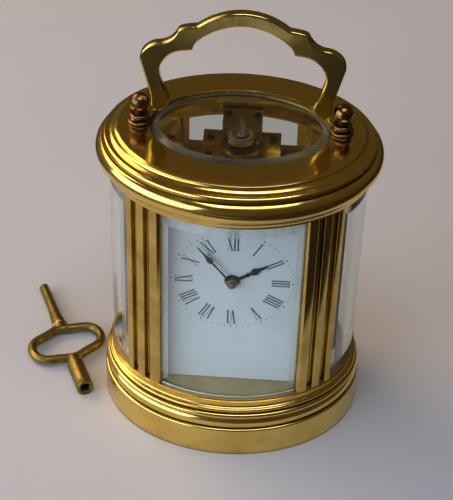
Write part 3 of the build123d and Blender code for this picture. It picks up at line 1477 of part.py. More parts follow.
os.makedirs("parts", exist_ok=True)
for node, shape in nodes.items():
    export_step(shape, f"parts/{node}.step")
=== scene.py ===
import math

import bpy
import numpy as np
from mathutils import Matrix, Vector


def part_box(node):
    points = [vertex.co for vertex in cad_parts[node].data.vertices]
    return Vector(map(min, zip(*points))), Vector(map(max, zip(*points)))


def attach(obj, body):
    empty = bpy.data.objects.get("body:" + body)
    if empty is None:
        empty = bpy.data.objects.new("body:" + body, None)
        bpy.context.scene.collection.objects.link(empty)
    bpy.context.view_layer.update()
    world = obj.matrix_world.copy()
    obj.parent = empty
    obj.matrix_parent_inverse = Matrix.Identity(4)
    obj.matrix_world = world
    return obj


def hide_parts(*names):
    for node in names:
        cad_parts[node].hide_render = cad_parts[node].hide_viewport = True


# Oval brass carriage clock with its double-ended winding key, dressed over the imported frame.
# Shapes are worked out in millimetres and written to the meshes in metres. +Z is up, the dial faces -Y.

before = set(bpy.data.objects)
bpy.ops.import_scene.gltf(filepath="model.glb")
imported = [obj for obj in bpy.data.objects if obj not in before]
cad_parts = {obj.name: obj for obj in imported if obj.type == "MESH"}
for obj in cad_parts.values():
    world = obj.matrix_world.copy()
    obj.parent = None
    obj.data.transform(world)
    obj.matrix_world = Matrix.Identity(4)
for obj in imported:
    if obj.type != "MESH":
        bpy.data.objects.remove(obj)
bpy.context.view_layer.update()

MM = 0.001
ROUND_STEPS = 4         # points in each eased corner of a section
OVAL_STEPS = 256        # columns round the case
ARC_STEPS = 8001        # places at which the oval's length is added up
CORNER_LIMIT = -0.93    # cosine between an outline's two edges above which their corner is eased
EASE_SHARE = 0.45       # the most of an edge, or of a plate's depth, that easing may take
TIP = 0.02              # radius at which a turned solid's point ends


# ---------------- the frame's sizes
def corners(*nodes):
    """Lowest and highest corner, in millimetres, of one or several CAD nodes."""
    boxes = np.array([[list(c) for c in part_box(node)] for node in nodes]) / MM
    return boxes[:, 0].min(axis=0), boxes[:, 1].max(axis=0)


base_low, base_high = corners("base_moulding")
top_low, top_high = corners("top_moulding")
glass_low, glass_high = corners("left_glass", "right_glass", "front_glass")
jewel_low, jewel_high = corners("balance_jewel")
dial_face = corners("dial_plate")[0][1]
minute_hand_face = corners("minute_hand")[0][1]
key_foot = corners("winding_key")[0][2]

THROW = base_high[0] - base_high[1]     # half length less half depth, the same at every height
PATH = 36.0                             # half length of the oval that the mouldings are carried round


# ---------------- meshes
def grid_faces(rows, columns, close_rows=False, close_columns=False):
    """Quads of a grid of points numbered row by row, with the last row or column joined to the first."""
    row = np.arange(rows if close_rows else rows - 1)[:, None]
    column = np.arange(columns if close_columns else columns - 1)[None, :]
    after_row = (row + 1) % rows
    after_column = (column + 1) % columns
    quads = np.stack([row * columns + column, row * columns + after_column,
                      after_row * columns + after_column, after_row * columns + column], axis=-1)
    return quads.reshape(-1, 4).tolist()


def capped_faces(rows, columns):
    """Faces of a tube of rings, with a flat lid on each of its two ends."""
    lids = [list(range(columns))[::-1], list(range((rows - 1) * columns, rows * columns))]
    return grid_faces(rows, columns, close_columns=True) + lids


def signed_volume(mesh):
    """A sixth of the sum, over the mesh's triangles, of the triple product of their corners."""
    mesh.calc_loop_triangles()
    points = np.empty(len(mesh.vertices) * 3)
    mesh.vertices.foreach_get("co", points)
    corner = np.empty(len(mesh.loop_triangles) * 3, dtype=np.int32)
    mesh.loop_triangles.foreach_get("vertices", corner)
    first, second, third = points.reshape(-1, 3)[corner.reshape(-1, 3).T]
    return np.einsum("ij,ij->", first, np.cross(second, third)) / 6


def make_piece(name, points, faces, material, body="root", nodes=(), slot=None, sharp=30.0):
    """A mesh object from points in millimetres, facing outwards, with its material, the body it rides on and
    the CAD nodes that it stands for. Its slot is not used. Edges of more than sharp degrees stay sharp."""
    points = np.asarray(points, dtype=float).reshape(-1, 3)
    mesh = bpy.data.meshes.new(name)
    mesh.from_pydata((points * MM).tolist(), [], faces)
    if signed_volume(mesh) < 0:
        mesh.flip_normals()
    mesh.polygons.foreach_set("use_smooth", np.ones(len(mesh.polygons), dtype=bool))
    mesh.set_sharp_from_angle(angle=math.radians(sharp))
    mesh.materials.append(material)
    piece = bpy.data.objects.new(name, mesh)
    bpy.context.collection.objects.link(piece)
    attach(piece, body)
    if nodes:
        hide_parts(*nodes)
    return piece


def paint(piece, material, chosen):
    """Gives the chosen faces of a piece, a mask with one entry for each, one more material."""
    slots = np.empty(len(chosen), dtype=np.int32)
    piece.data.polygons.foreach_get("material_index", slots)
    piece.data.polygons.foreach_set("material_index", np.where(chosen, len(piece.data.materials), slots))
    piece.data.materials.append(material)


def face_heights(piece, kind):
    """Upward part of each face's unit "normal", or of its "center" in metres."""
    values = np.empty(len(piece.data.polygons) * 3)
    piece.data.polygons.foreach_get(kind, values)
    return values[2::3]


def arc_points(start, end, bulge, steps):
    """Points on a round arc from start towards end whose middle stands bulge to the right of the chord:
    half angle = 2 atan(bulge / half chord), radius = half chord / sin(half angle)."""
    start, end = np.asarray(start, float), np.asarray(end, float)
    along = (end - start) / 2
    half = np.hypot(*along)
    if abs(bulge) < 1e-6:
        return start[None]
    reach = 2 * math.atan(bulge / half)
    radius = half / math.sin(reach)
    turn = np.linspace(-reach, reach, steps, endpoint=False)[:, None]
    side = np.array([along[1], -along[0]]) / half
    rise = radius * (np.cos(turn) - math.cos(reach))
    return (start + end) / 2 + along / half * radius * np.sin(turn) + side * rise


def section(rows, ease, closed=True, steps=10):
    """Outline from rows of (x, z, bulge of the edge that leads to this row), with every corner eased by a
    quadratic curve that starts and ends at most ease away from it."""
    ends = list(zip(rows, rows[1:] + rows[:1] if closed else rows[1:]))
    arcs = [arc_points(a[:2], b[:2], b[2], steps) for a, b in ends]
    points = np.vstack(arcs if closed else arcs + [np.array([rows[-1][:2]], dtype=float)])
    back = np.roll(points, 1, axis=0) - points
    on = np.roll(points, -1, axis=0) - points
    back_length = np.hypot(*back.T)[:, None]
    on_length = np.hypot(*on.T)[:, None]
    reach = np.minimum(ease, EASE_SHARE * np.minimum(back_length, on_length))
    cosine = np.einsum("ij,ij->i", back, on) / (back_length * on_length)[:, 0]
    corner = cosine > CORNER_LIMIT
    if not closed:
        corner[0] = corner[-1] = False
    counts = np.where(corner, ROUND_STEPS, 1)
    index = np.repeat(np.arange(len(points)), counts)
    step = np.arange(len(index)) - np.repeat(np.cumsum(counts) - counts, counts)
    t = (step / (ROUND_STEPS - 1))[:, None]
    start = points + back / back_length * reach
    end = points + on / on_length * reach
    curve = (1 - t) ** 2 * start[index] + 2 * t * (1 - t) * points[index] + t ** 2 * end[index]
    return np.where(corner[index][:, None], curve, points[index])


def oval_at(half_length, angle, out=0.0):
    """Points of the oval at angles from the front: (a sin, -b cos), moved out along its normal
    (b sin, -a cos) made one long."""
    a, b = half_length, half_length - THROW
    s, c = np.sin(angle), np.cos(angle)
    size = np.hypot(b * s, a * c)
    return np.stack([a * s + out * b * s / size, -b * c - out * a * c / size], axis=-1)


def round_oval(profile):
    """A section of (half length, height) carried round the case: each point stands out from the path
    oval by its half length less the path's."""
    angle = np.linspace(0, 2 * math.pi, OVAL_STEPS, endpoint=False)[None, :]
    out = profile[:, 0][:, None] - PATH
    plan = oval_at(PATH, np.broadcast_to(angle, (len(profile), OVAL_STEPS)), out)
    height = np.broadcast_to(profile[:, 1][:, None], (len(profile), OVAL_STEPS))
    return np.concatenate([plan, height[..., None]], axis=-1)


def arc_table(half_length):
    """Angles, and the oval's length up to each: hypot(a cos, b sin) added up in small steps."""
    angle = np.linspace(-math.pi, 3 * math.pi, ARC_STEPS)
    speed = np.hypot(half_length * np.cos(angle), (half_length - THROW) * np.sin(angle))
    return angle, np.concatenate([[0], np.cumsum((speed[1:] + speed[:-1]) / 2 * np.diff(angle))])


def oval_angle(half_length, start, distance):
    """Angle reached by going a distance along the oval: the table of its length is read backwards."""
    angle, length = arc_table(half_length)
    return np.interp(np.interp(start, angle, length) + distance, length, angle)


def oval_ring(profile):
    """Points and faces of a closed section carried round the case."""
    return round_oval(profile), grid_faces(len(profile), OVAL_STEPS, close_rows=True, close_columns=True)


def oval_solid(profile):
    """Points and faces of an open section carried round the case, with flat lids on its two ends."""
    return round_oval(profile), capped_faces(len(profile), OVAL_STEPS)


def turned(profile, steps=72):
    """Turned solid: a section of (radius, height) carried round Z, with a flat lid on each end."""
    angle = np.linspace(0, 2 * math.pi, steps, endpoint=False)
    radius, height = profile[:, 0][:, None], profile[:, 1][:, None]
    points = np.stack([radius * np.cos(angle), radius * np.sin(angle), height + 0 * angle], axis=-1)
    return points.reshape(-1, 3), capped_faces(len(profile), steps)


def slabs(outlines, front, back):
    """Flat prisms, all with the same number of corners: (x, z) outlines made solid along Y, from front to
    back."""
    outlines = np.asarray(outlines, dtype=float)
    count, sides = outlines.shape[:2]
    points = np.empty((count, 2, sides, 3))
    points[..., [0, 2]] = outlines[:, None]
    points[:, 0, :, 1], points[:, 1, :, 1] = front, back
    first = np.arange(count)[:, None, None] * 2 * sides
    ring = np.arange(sides)
    after = (ring + 1) % sides
    walls = first + np.stack([ring, after, after + sides, ring + sides], axis=-1)[None]
    lids = first[:, 0] + ring[None, :]
    faces = walls.reshape(-1, 4).tolist() + lids[:, ::-1].tolist() + (lids + sides).tolist()
    return points.reshape(-1, 3), faces


def softened(outline, spacing, softness):
    """Closed outline, evenly resampled and smoothed: each point becomes the mean of the points round it,
    weighted by exp(-(distance / softness)**2 / 2)."""
    closed = np.vstack([outline, outline[:1]])
    length = np.concatenate([[0], np.cumsum(np.hypot(*np.diff(closed, axis=0).T))])
    place = np.linspace(0, length[-1], int(length[-1] / spacing), endpoint=False)
    even = np.stack([np.interp(place, length, closed[:, i]) for i in (0, 1)], axis=-1)
    weight = np.exp(-(np.minimum(place, length[-1] - place) / softness) ** 2 / 2)
    return np.fft.ifft(np.fft.fft(even, axis=0) * np.fft.fft(weight / weight.sum())[:, None], axis=0).real


def flat_plate(outline, front, back, edge, steps=6):
    """A closed (x, z) outline made solid along Y. Its edges are quarter ellipses, edge mm wide and less than
    half as deep as the plate, and end in a narrow ring that is level with the flat face."""
    ahead = np.roll(outline, -1, axis=0) - np.roll(outline, 1, axis=0)
    inwards = np.stack([-ahead[:, 1], ahead[:, 0]], axis=-1) / np.hypot(*ahead.T)[:, None]
    area = np.sum(outline[:, 0] * np.roll(outline[:, 1], -1) - outline[:, 1] * np.roll(outline[:, 0], -1))
    turn = np.linspace(0, math.pi / 2, steps)
    depth = min(edge, EASE_SHARE * (back - front))
    ring = 1.1 * edge
    inset = np.concatenate([[ring], edge * (1 - np.cos(turn[::-1]))])
    drop = np.concatenate([[0], depth * (1 - np.sin(turn[::-1]))])
    inset = np.concatenate([inset, inset[::-1]])
    height = np.concatenate([front + drop, back - drop[::-1]])
    points = np.empty((len(inset), len(outline), 3))
    points[..., [0, 2]] = outline + math.copysign(1, area) * inset[:, None, None] * inwards
    points[..., 1] = height[:, None]
    return points.reshape(-1, 3), capped_faces(len(inset), len(outline))


def upright(plan, bottom, top):
    """A closed plan outline made solid between two heights."""
    points = np.zeros((2, len(plan), 3))
    points[:, :, :2] = plan
    points[0, :, 2], points[1, :, 2] = bottom, top
    return points, capped_faces(2, len(plan))


def rotation(angle):
    """Matrix that turns (x, y) counter-clockwise: rows (cos, -sin) and (sin, cos)."""
    return np.array([[math.cos(angle), -math.sin(angle)], [math.sin(angle), math.cos(angle)]])


def pane_between(front, back):
    """Solid between two grids of points of the same size, walled in round their edges. The four corner
    cells of the front are cut from corner to corner, so that its bevels meet in mitres."""
    rows, columns = front.shape[:2]
    count = rows * columns
    number = np.arange(count).reshape(rows, columns)
    quads = grid_faces(rows, columns)
    cells = {0: (0, 0), columns - 2: (0, 1), (rows - 2) * (columns - 1): (1, 0), len(quads) - 1: (1, 1)}
    faces = [quad for i, quad in enumerate(quads) if i not in cells]
    for cell, (up, right) in cells.items():
        quad = quads[cell]
        split = (0, 2) if up == right else (1, 3)
        turn = quad[split[0]:] + quad[:split[0]]
        faces += [turn[:3], [turn[0], turn[2], turn[3]]]
    faces += [[i + count for i in quad[::-1]] for quad in quads]
    rim = np.concatenate([number[0], number[1:, -1], number[-1, -2::-1], number[-2:0:-1, 0]])
    after = np.roll(rim, -1)
    faces += np.stack([rim, rim + count, after + count, after], axis=-1).tolist()
    return np.concatenate([front.reshape(-1, 3), back.reshape(-1, 3)]), faces


# ---------------- materials
def linear(code):
    """sRGB hex to linear light: c / 12.92 up to 0.04045 and ((c + 0.055) / 1.055) ** 2.4 above."""
    part = np.array([int(code[i:i + 2], 16) for i in (1, 3, 5)]) / 255
    return (*np.where(part <= 0.04045, part / 12.92, ((part + 0.055) / 1.055) ** 2.4), 1.0)


def per(size):
    """Texture scale for a pattern whose features are this many millimetres apart."""
    return 1 / (size * MM)


def add(tree, kind, inputs=None, **settings):
    """Adds a shader node. Settings go to its properties and inputs to its sockets; an input that is another
    node's socket is linked."""
    made = tree.nodes.new("ShaderNode" + kind)
    for name, value in settings.items():
        setattr(made, name, value)
    for name, value in (inputs or {}).items():
        if isinstance(value, bpy.types.NodeSocket):
            tree.links.new(value, made.inputs[name])
        else:
            made.inputs[name].default_value = value
    return made


def new_material(name):
    """An empty material, its node tree and the Object coordinates that its patterns are laid out on."""
    material = bpy.data.materials.new(name)
    material.use_nodes = True
    tree = material.node_tree
    tree.nodes.clear()
    return material, tree, add(tree, "TexCoord").outputs["Object"]


def metal(name, bright, dull, roughness, patch=9.0, wave=0.012, scratch=0.0016, lines=None,
          corner_shade="#2A1C0C", shade_share=0.85):
    """Solid metal. Patches of the dull colour lie over the bright one, and a painted shade colour, up to a
    given share, darkens the corners that ambient occlusion finds. The surface waves by a hundredth of a
    millimetre where it was polished by hand, and fine scratches cross it. Lines is the (x, y, z) spacing in
    millimetres of a brushed grain, which is drawn coarser than it is, so that it shows."""
    shade_reach, scratch_spacing, wave_spacing, grain_depth = 2.0, 7.0, 6.0, 0.004
    # How much rougher the dull patches and the painted corner shade are.
    dull_times, dull_more, shade_rougher = 1.8, 0.03, 0.25
    material, tree, place = new_material(name)
    cloud = add(tree, "TexNoise", {
        "Vector": place, "Scale": per(patch), "Detail": 5.0, "Roughness": 0.6}).outputs["Fac"]
    amount = add(tree, "MapRange", {"Value": cloud, "From Min": 0.42, "From Max": 0.72}).outputs["Result"]
    colour = add(tree, "Mix", {
        "Factor": amount, "A": linear(bright), "B": linear(dull)}, data_type="RGBA").outputs["Result"]
    # Painted shade: ambient occlusion darkens the corners towards the shade colour.
    corner = add(tree, "AmbientOcclusion", {"Distance": shade_reach * MM}, samples=6).outputs["AO"]
    shade_amount = add(tree, "MapRange", {
        "Value": corner, "From Min": 0.25, "From Max": 0.8,
        "To Min": shade_share, "To Max": 0.0}).outputs["Result"]
    shaded_colour = add(tree, "Mix", {
        "Factor": shade_amount, "A": colour, "B": linear(corner_shade)}, data_type="RGBA").outputs["Result"]
    aslant = add(tree, "Mapping", {
        "Vector": place, "Rotation": (0.5, 0.9, 0.4), "Scale": (1.0, 14.0, 1.0)}).outputs["Vector"]
    hair = add(tree, "TexNoise", {
        "Vector": aslant, "Scale": per(scratch_spacing), "Detail": 2.0}).outputs["Fac"]
    mark = add(tree, "MapRange", {"Value": hair, "From Min": 0.66, "From Max": 0.7}).outputs["Result"]
    swell = add(tree, "TexNoise", {
        "Vector": place, "Scale": per(wave_spacing), "Detail": 1.0}).outputs["Fac"]
    height = add(tree, "Math", {0: swell, 1: wave * MM}, operation="MULTIPLY").outputs["Value"]
    height = add(tree, "Math", {
        0: mark, 1: -scratch * MM, 2: height}, operation="MULTIPLY_ADD").outputs["Value"]
    if lines:
        drawn = add(tree, "Mapping", {
            "Vector": place, "Scale": tuple(per(spacing) for spacing in lines)}).outputs["Vector"]
        grain = add(tree, "TexNoise", {"Vector": drawn, "Scale": 1.0, "Detail": 3.0}).outputs["Fac"]
        height = add(tree, "Math", {
            0: grain, 1: grain_depth * MM, 2: height}, operation="MULTIPLY_ADD").outputs["Value"]
    bump = add(tree, "Bump", {"Height": height, "Strength": 1.0, "Distance": 1.0}).outputs["Normal"]
    rough = add(tree, "MapRange", {
        "Value": amount, "To Min": roughness,
        "To Max": roughness * dull_times + dull_more}).outputs["Result"]
    rough = add(tree, "Math", {0: shade_amount, 1: shade_rougher, 2: rough}, operation="MULTIPLY_ADD").outputs["Value"]
    shader = add(tree, "BsdfPrincipled", {
        "Base Color": shaded_colour, "Metallic": 1.0, "Roughness": rough, "Normal": bump}).outputs["BSDF"]
    add(tree, "OutputMaterial", {"Surface": shader})
    return material


def clear_glass(name, tint, roughness=0.0, haze=0.0, streak=14.0):
    """Plate glass. Haze is the share of light that a ground face scatters, from half of it to one and a half
    times in upright streaks, and streak is the spacing in millimetres of the streaks and of the film on the
    glass. Light that only passes through on its way to a shadow isn't held back."""
    stretch = 0.2           # makes a streak five times as tall as it is wide
    film_times, film_more = 1.6, 0.01
    material, tree, place = new_material(name)
    film = add(tree, "TexNoise", {"Vector": place, "Scale": per(streak), "Detail": 4.0}).outputs["Fac"]
    smear = add(tree, "MapRange", {
        "Value": film, "From Min": 0.4, "From Max": 0.8,
        "To Min": roughness, "To Max": roughness * film_times + film_more}).outputs["Result"]
    tall = add(tree, "Mapping", {"Vector": place, "Scale": (1.0, 1.0, stretch)}).outputs["Vector"]
    line = add(tree, "TexNoise", {"Vector": tall, "Scale": per(streak), "Detail": 3.0}).outputs["Fac"]
    clear = add(tree, "MapRange", {
        "Value": line, "From Min": 0.3, "From Max": 0.7,
        "To Min": 1.0 - 0.5 * haze, "To Max": 1.0 - 1.5 * haze}).outputs["Result"]
    glass = add(tree, "BsdfPrincipled", {
        "Base Color": linear(tint), "Roughness": smear, "IOR": 1.52,
        "Transmission Weight": clear}).outputs["BSDF"]
    open_way = add(tree, "BsdfTransparent", {"Color": linear(tint)}).outputs["BSDF"]
    shadow = add(tree, "LightPath").outputs["Is Shadow Ray"]
    mix = add(tree, "MixShader", {0: shadow, 1: glass, 2: open_way}).outputs["Shader"]
    add(tree, "OutputMaterial", {"Surface": mix})
    return material


def enamel(name, colour, shade, roughness, coat=0.0):
    """Fired enamel: a plain body with a faint cloud of a second shade and a grain, drawn coarse enough to
    show."""
    cloud_spacing, grain_spacing, grain_depth = 22.0, 0.3, 0.001
    material, tree, place = new_material(name)
    cloud = add(tree, "TexNoise", {
        "Vector": place, "Scale": per(cloud_spacing), "Detail": 4.0}).outputs["Fac"]
    tone = add(tree, "Mix", {
        "Factor": cloud, "A": linear(colour), "B": linear(shade)}, data_type="RGBA").outputs["Result"]
    pore = add(tree, "TexNoise", {
        "Vector": place, "Scale": per(grain_spacing), "Detail": 2.0}).outputs["Fac"]
    bump = add(tree, "Bump", {
        "Height": pore, "Strength": 1.0, "Distance": grain_depth * MM}).outputs["Normal"]
    shader = add(tree, "BsdfPrincipled", {
        "Base Color": tone, "Roughness": roughness, "Coat Weight": coat, "Coat Roughness": 0.04,
        "Normal": bump}).outputs["BSDF"]
    add(tree, "OutputMaterial", {"Surface": shader})
    return material


# Lacquered cartridge brass: pale gold in the light, olive where it mirrors something dark.
case_brass = metal("polished_lacquered_brass", "#ECCB70", "#D6B45A", 0.13)
# The corners of the pilasters' flutes get a near-black painted shade.
fluted_brass = metal("fluted_lacquered_brass", "#DABB66", "#B8964A", 0.09, corner_shade="#120903", shade_share=0.97)
# The handle's brass is a darker, more olive copy of the case brass: painted shade for the dark room that it
# mirrors.
handle_brass = metal("darkened_handle_brass_painted_shade", "#D6C274", "#B8A254", 0.1)
# The turned balls have browned to a copper tone.
ball_brass = metal("browned_turned_brass", "#846843", "#5C432A", 0.2)
# Old cast key brass, unlacquered and dull with handling.
key_metal = metal("aged_cast_brass", "#8E7C40", "#5E4E22", 0.36, patch=4.0, scratch=0.003)
# Yellow hard solder where the key's stems meet its bow.
solder = metal("yellow_hard_solder", "#E2C878", "#8A7038", 0.26, patch=1.6)
# Floor of the base inside the case, brushed along X and never lacquered, with a brown painted shade in its
# corners.
brushed_brass = metal("brushed_base_brass", "#BEA878", "#A58E60", 0.34, lines=(9.0, 0.3, 9.0),
                      corner_shade="#5A5030", shade_share=0.6)
# Gilt plates of the movement, grained along X before gilding.
movement_brass = metal("grained_gilt_brass", "#C2A064", "#94753E", 0.26, lines=(6.0, 6.0, 0.25))
# The door's frame is gilt on its inside. Its colour is painted paler than the case brass, as painted light
# for the light that the gilt walls inside the case throw to each other, and its corners get a pale painted
# shade.
door_brass = metal("gilt_door_brass_painted_light", "#FAD470", "#E8BC54", 0.5, corner_shade="#A87A34")
# Bright gilt balance and wheels.
wheel_brass = metal("bright_gilt_wheel_brass", "#D8BE7C", "#B0904C", 0.16)
# Hardened steel, polished flat.
steel = metal("polished_hardened_steel", "#B9BABB", "#8C8D8F", 0.16)
# Screws and springs tempered to a deep blue.
blue_steel = metal("tempered_blue_steel", "#2B3552", "#1B2136", 0.22)
# The hands' boss and the jewel's setting have browned.
browned_steel = metal("browned_boss_steel", "#8E8078", "#6A5C54", 0.3, patch=1.0)
# Regulator of the balance, brushed steel.
index_steel = metal("brushed_index_steel", "#A69A84", "#82765E", 0.38, patch=3.0)
# Fine clock hands, blued so far that they look black.
hand_steel = metal("blackened_hand_steel", "#2A2A2E", "#17171A", 0.3)
# Polished plate glass, clear between its bevels.
pane_glass = clear_glass("bevelled_plate_glass", "#F1F7F5")
# The bevels were ground and polished less finely, so they blur what lies behind. The top bevel's heavy haze
# is partly a painted reflection: it scatters the lamps' light and looks pale.
bevel_glass = clear_glass("ground_glass_bevel_painted_reflection", "#E2ECEA", roughness=0.16, haze=0.42, streak=5.0)
side_bevel_glass = clear_glass("side_glass_bevel", "#EEF1E8", roughness=0.12, haze=0.18, streak=4.0)
# A frosted strip along the lower edge of the front glass gives a painted highlight there.
painted_highlight_glass = clear_glass("frosted_glass_painted_highlight", "#F2F6F4", roughness=0.4, haze=0.62, streak=3.0)
# The top glass's bevel is thin and a little green.
rim_glass = clear_glass("top_glass_bevel", "#BECCB8", roughness=0.2, haze=0.06, streak=9.0)
# Synthetic ruby, so dark that it looks black from above.
ruby = clear_glass("synthetic_ruby", "#3E1A1C", roughness=0.05, haze=0.5)
# Vitreous enamel on copper, fired white with a faint blue cast.
dial_enamel = enamel("fired_white_enamel", "#DCE2E8", "#D3DAE2", 0.16, coat=0.4)
# Black enamel of the painted figures.
figure_enamel = enamel("fired_black_enamel", "#303238", "#25272C", 0.34)


def card_material():
    """Painted floor, pale wherever it is seen directly or through glass. What polished metal mirrors of it
    is
    painted reflection: a pale sheet turned by 35 degrees about the clock, warm brown beyond its soft edges,
    and a pale pool of painted light in front, which shows as a painted highlight in the handle's arch. An
    area is the product of smooth steps across its edges."""
    sheet = (("X", -221, -215), ("X", 205, 199), ("Y", -89, -83), ("Y", 171, 165))
    # Painted light: a pale pool in front of the clock, which metal mirrors as a painted highlight.
    painted_light_pool = (("Y", -208, -194), ("Y", -162, -176), ("X", -98, -122))
    cloud_spacing, fibre_spacing, fibre_depth = 60.0, 1.0, 0.01
    material, tree, place = new_material("pale_card_painted_reflection")
    turned_place = add(tree, "Mapping", {"Vector": place, "Rotation": (0, 0, math.radians(-35))})
    across = add(tree, "SeparateXYZ", {"Vector": turned_place.outputs["Vector"]}).outputs
    rays = add(tree, "LightPath").outputs
    areas = []
    for edges, area in ((sheet, 1.0), (painted_light_pool, 0.8)):
        for axis, dark, light in edges:
            step = add(tree, "MapRange", {
                "Value": across[axis], "From Min": dark * MM, "From Max": light * MM},
                interpolation_type="SMOOTHSTEP").outputs["Result"]
            area = add(tree, "Math", {0: step, 1: area}, operation="MULTIPLY").outputs["Value"]
        areas.append(area)
    shown = areas[0]
    for other in (areas[1], rays["Is Camera Ray"], rays["Is Transmission Ray"]):
        shown = add(tree, "Math", {0: shown, 1: other}, operation="MAXIMUM").outputs["Value"]
    cloud = add(tree, "TexNoise", {
        "Vector": place, "Scale": per(cloud_spacing), "Detail": 3.0}).outputs["Fac"]
    pale = add(tree, "Mix", {
        "Factor": cloud, "A": linear("#C9CACF"), "B": linear("#C2C3C9")}, data_type="RGBA").outputs["Result"]
    # Painted reflection: outside the sheet and the pool, metal mirrors warm brown.
    tone = add(tree, "Mix", {
        "Factor": shown, "A": linear("#2A2018"), "B": pale}, data_type="RGBA").outputs["Result"]
    fibre = add(tree, "TexNoise", {
        "Vector": place, "Scale": per(fibre_spacing), "Detail": 2.0}).outputs["Fac"]
    bump = add(tree, "Bump", {
        "Height": fibre, "Strength": 1.0, "Distance": fibre_depth * MM}).outputs["Normal"]
    shader = add(tree, "BsdfPrincipled", {
        "Base Color": tone, "Roughness": 0.75, "Normal": bump}).outputs["BSDF"]
    add(tree, "OutputMaterial", {"Surface": shader})
    return material


floor_card = card_material()


# ---------------- base and top
moulding_ease = 0.16
# Half length, height and bulge, from the hollow under the foot up to the floor inside the case.
base_rows = [
    (33.5, 1.4, 0), (33.5, 0, 0), (41, 0, 0), (41, 9.8, 0), (40.3, 10.5, 0.2), (39.7, 10.5, 0),
    (39.7, 11, 0), (40.2, 11, 0), (39.4, 14.5, 0.8), (39.9, 14.5, 0), (39.9, 16.3, 0.6), (38.9, 16.3, 0),
    (39.4, 16.8, 0), (39.4, 18, 0.4), (38.4, 18.5, -0.2), (38.9, 21.6, -0.3)]
base = make_piece("base_case", *oval_solid(section(base_rows, moulding_ease, closed=False)), case_brass,
                  nodes=["base_moulding"], slot="case_brass")
paint(base, brushed_brass, face_heights(base, "center") > (base_high[2] - 0.01) * MM)

# Round the top's closed section, from its underside up the outside and back down by the glass's seat.
top_rows = [
    (31, 88, 0), (36.9, 88, 0), (39.3, 88, 0), (40.2, 90, -0.3), (40.2, 90.6, 0), (40.3, 96.8, 1.8),
    (39.4, 96.8, 0), (39.4, 97.6, 0), (39.9, 97.6, 0), (38.6, 98.7, 0.4), (36.5, 99.9, -0.3),
    (36.5, 100.4, 0), (35.5, 100.8, 0), (26.4, 100.8, 0), (26.4, 97.8, 0), (24.8, 97.8, 0), (24.8, 96, 0),
    (31, 96, 0)]
make_piece("top_case", *oval_ring(section(top_rows, moulding_ease)), case_brass,
           nodes=["top_moulding"], slot="case_brass")

# ---------------- pilasters
groove_depth, pilaster_depth, pilaster_width, pilaster_out = 1.7, 4.4, 12.85, 39.3
chamfer_across, chamfer_down = 0.7, 0.9
pilaster_start = math.radians(32.6)
# Edges of the three strips, with a groove between each two. The inner strip is the widest.
strip_edges = [(0.0, 3.5), (5.5, 8.35), (10.45, pilaster_width)]
pilaster_rows = []
for near_edge, far_edge in strip_edges:
    pilaster_rows += [(near_edge, -groove_depth, 0), (near_edge, 0, 0), ((near_edge + far_edge) / 2, 0, 0),
                      (far_edge, 0, 0), (far_edge, -groove_depth, 0)]
pilaster_rows[0] = (0.0, -pilaster_depth, 0)
pilaster_rows[1:2] = [(0.0, -chamfer_down, 0), (chamfer_across, 0, 0)]
pilaster_rows[-1] = (pilaster_width, -pilaster_depth, 0)
# Two points between its ends keep the back on the oval.
pilaster_rows += [(pilaster_width * share, -pilaster_depth, 0) for share in (0.66, 0.33)]
fluted = section(pilaster_rows, 0.3)
fluted_plan = oval_at(pilaster_out, oval_angle(pilaster_out, pilaster_start, fluted[:, 0]), fluted[:, 1])
for across, side in ((-1, "left"), (1, "right")):
    for along, face in ((1, "front"), (-1, "back")):
        make_piece(f"fluted_pilaster_{face}_{side}",
                   *upright(fluted_plan * (across, along), base_high[2], top_low[2]), fluted_brass,
                   nodes=[f"pilaster_{face}_{side}"], slot="case_brass", sharp=40)

# ---------------- glasses
end_bevel, side_bevel, bevel_depth, glass_depth, slot_reach = 3.9, 3.6, 0.8, 2.7, 1.1
arris_out, arris_in, arris_height = 0.62, 1.0, 0.42
level = 0.05            # a face counts as upright while its normal rises or falls by less than this
pilaster_end = float(oval_angle(pilaster_out, pilaster_start, pilaster_width))


def curved_pane(start, end, bottom, top, columns):
    """Front at the glass oval, sunk by the bevel's depth times what is left of the nearest bevel's width;
    back at the same angles, a glass's depth further in."""
    half_length = glass_high[0]
    first = float(oval_angle(half_length, start, -slot_reach))
    last = float(oval_angle(half_length, end, slot_reach))
    length = np.diff(np.interp([first, last], *arc_table(half_length)))[0]
    along = np.concatenate([[0], np.linspace(side_bevel, length - side_bevel, columns), [length]])
    up = np.array([0, end_bevel, top - bottom - end_bevel, top - bottom])
    share = np.minimum((np.minimum(along, length - along) / side_bevel)[None, :],
                       (np.minimum(up, up[-1] - up) / end_bevel)[:, None])
    sunk = -bevel_depth * (1 - np.clip(share, 0, 1))
    angle = np.broadcast_to(oval_angle(half_length, first, along)[None, :], sunk.shape)
    height = np.broadcast_to((bottom + up)[:, None], sunk.shape)
    front = np.concatenate([oval_at(half_length, angle, sunk), height[..., None]], axis=-1)
    back = np.concatenate([oval_at(half_length, angle, 0 * sunk - glass_depth), height[..., None]], axis=-1)
    return pane_between(front, back)


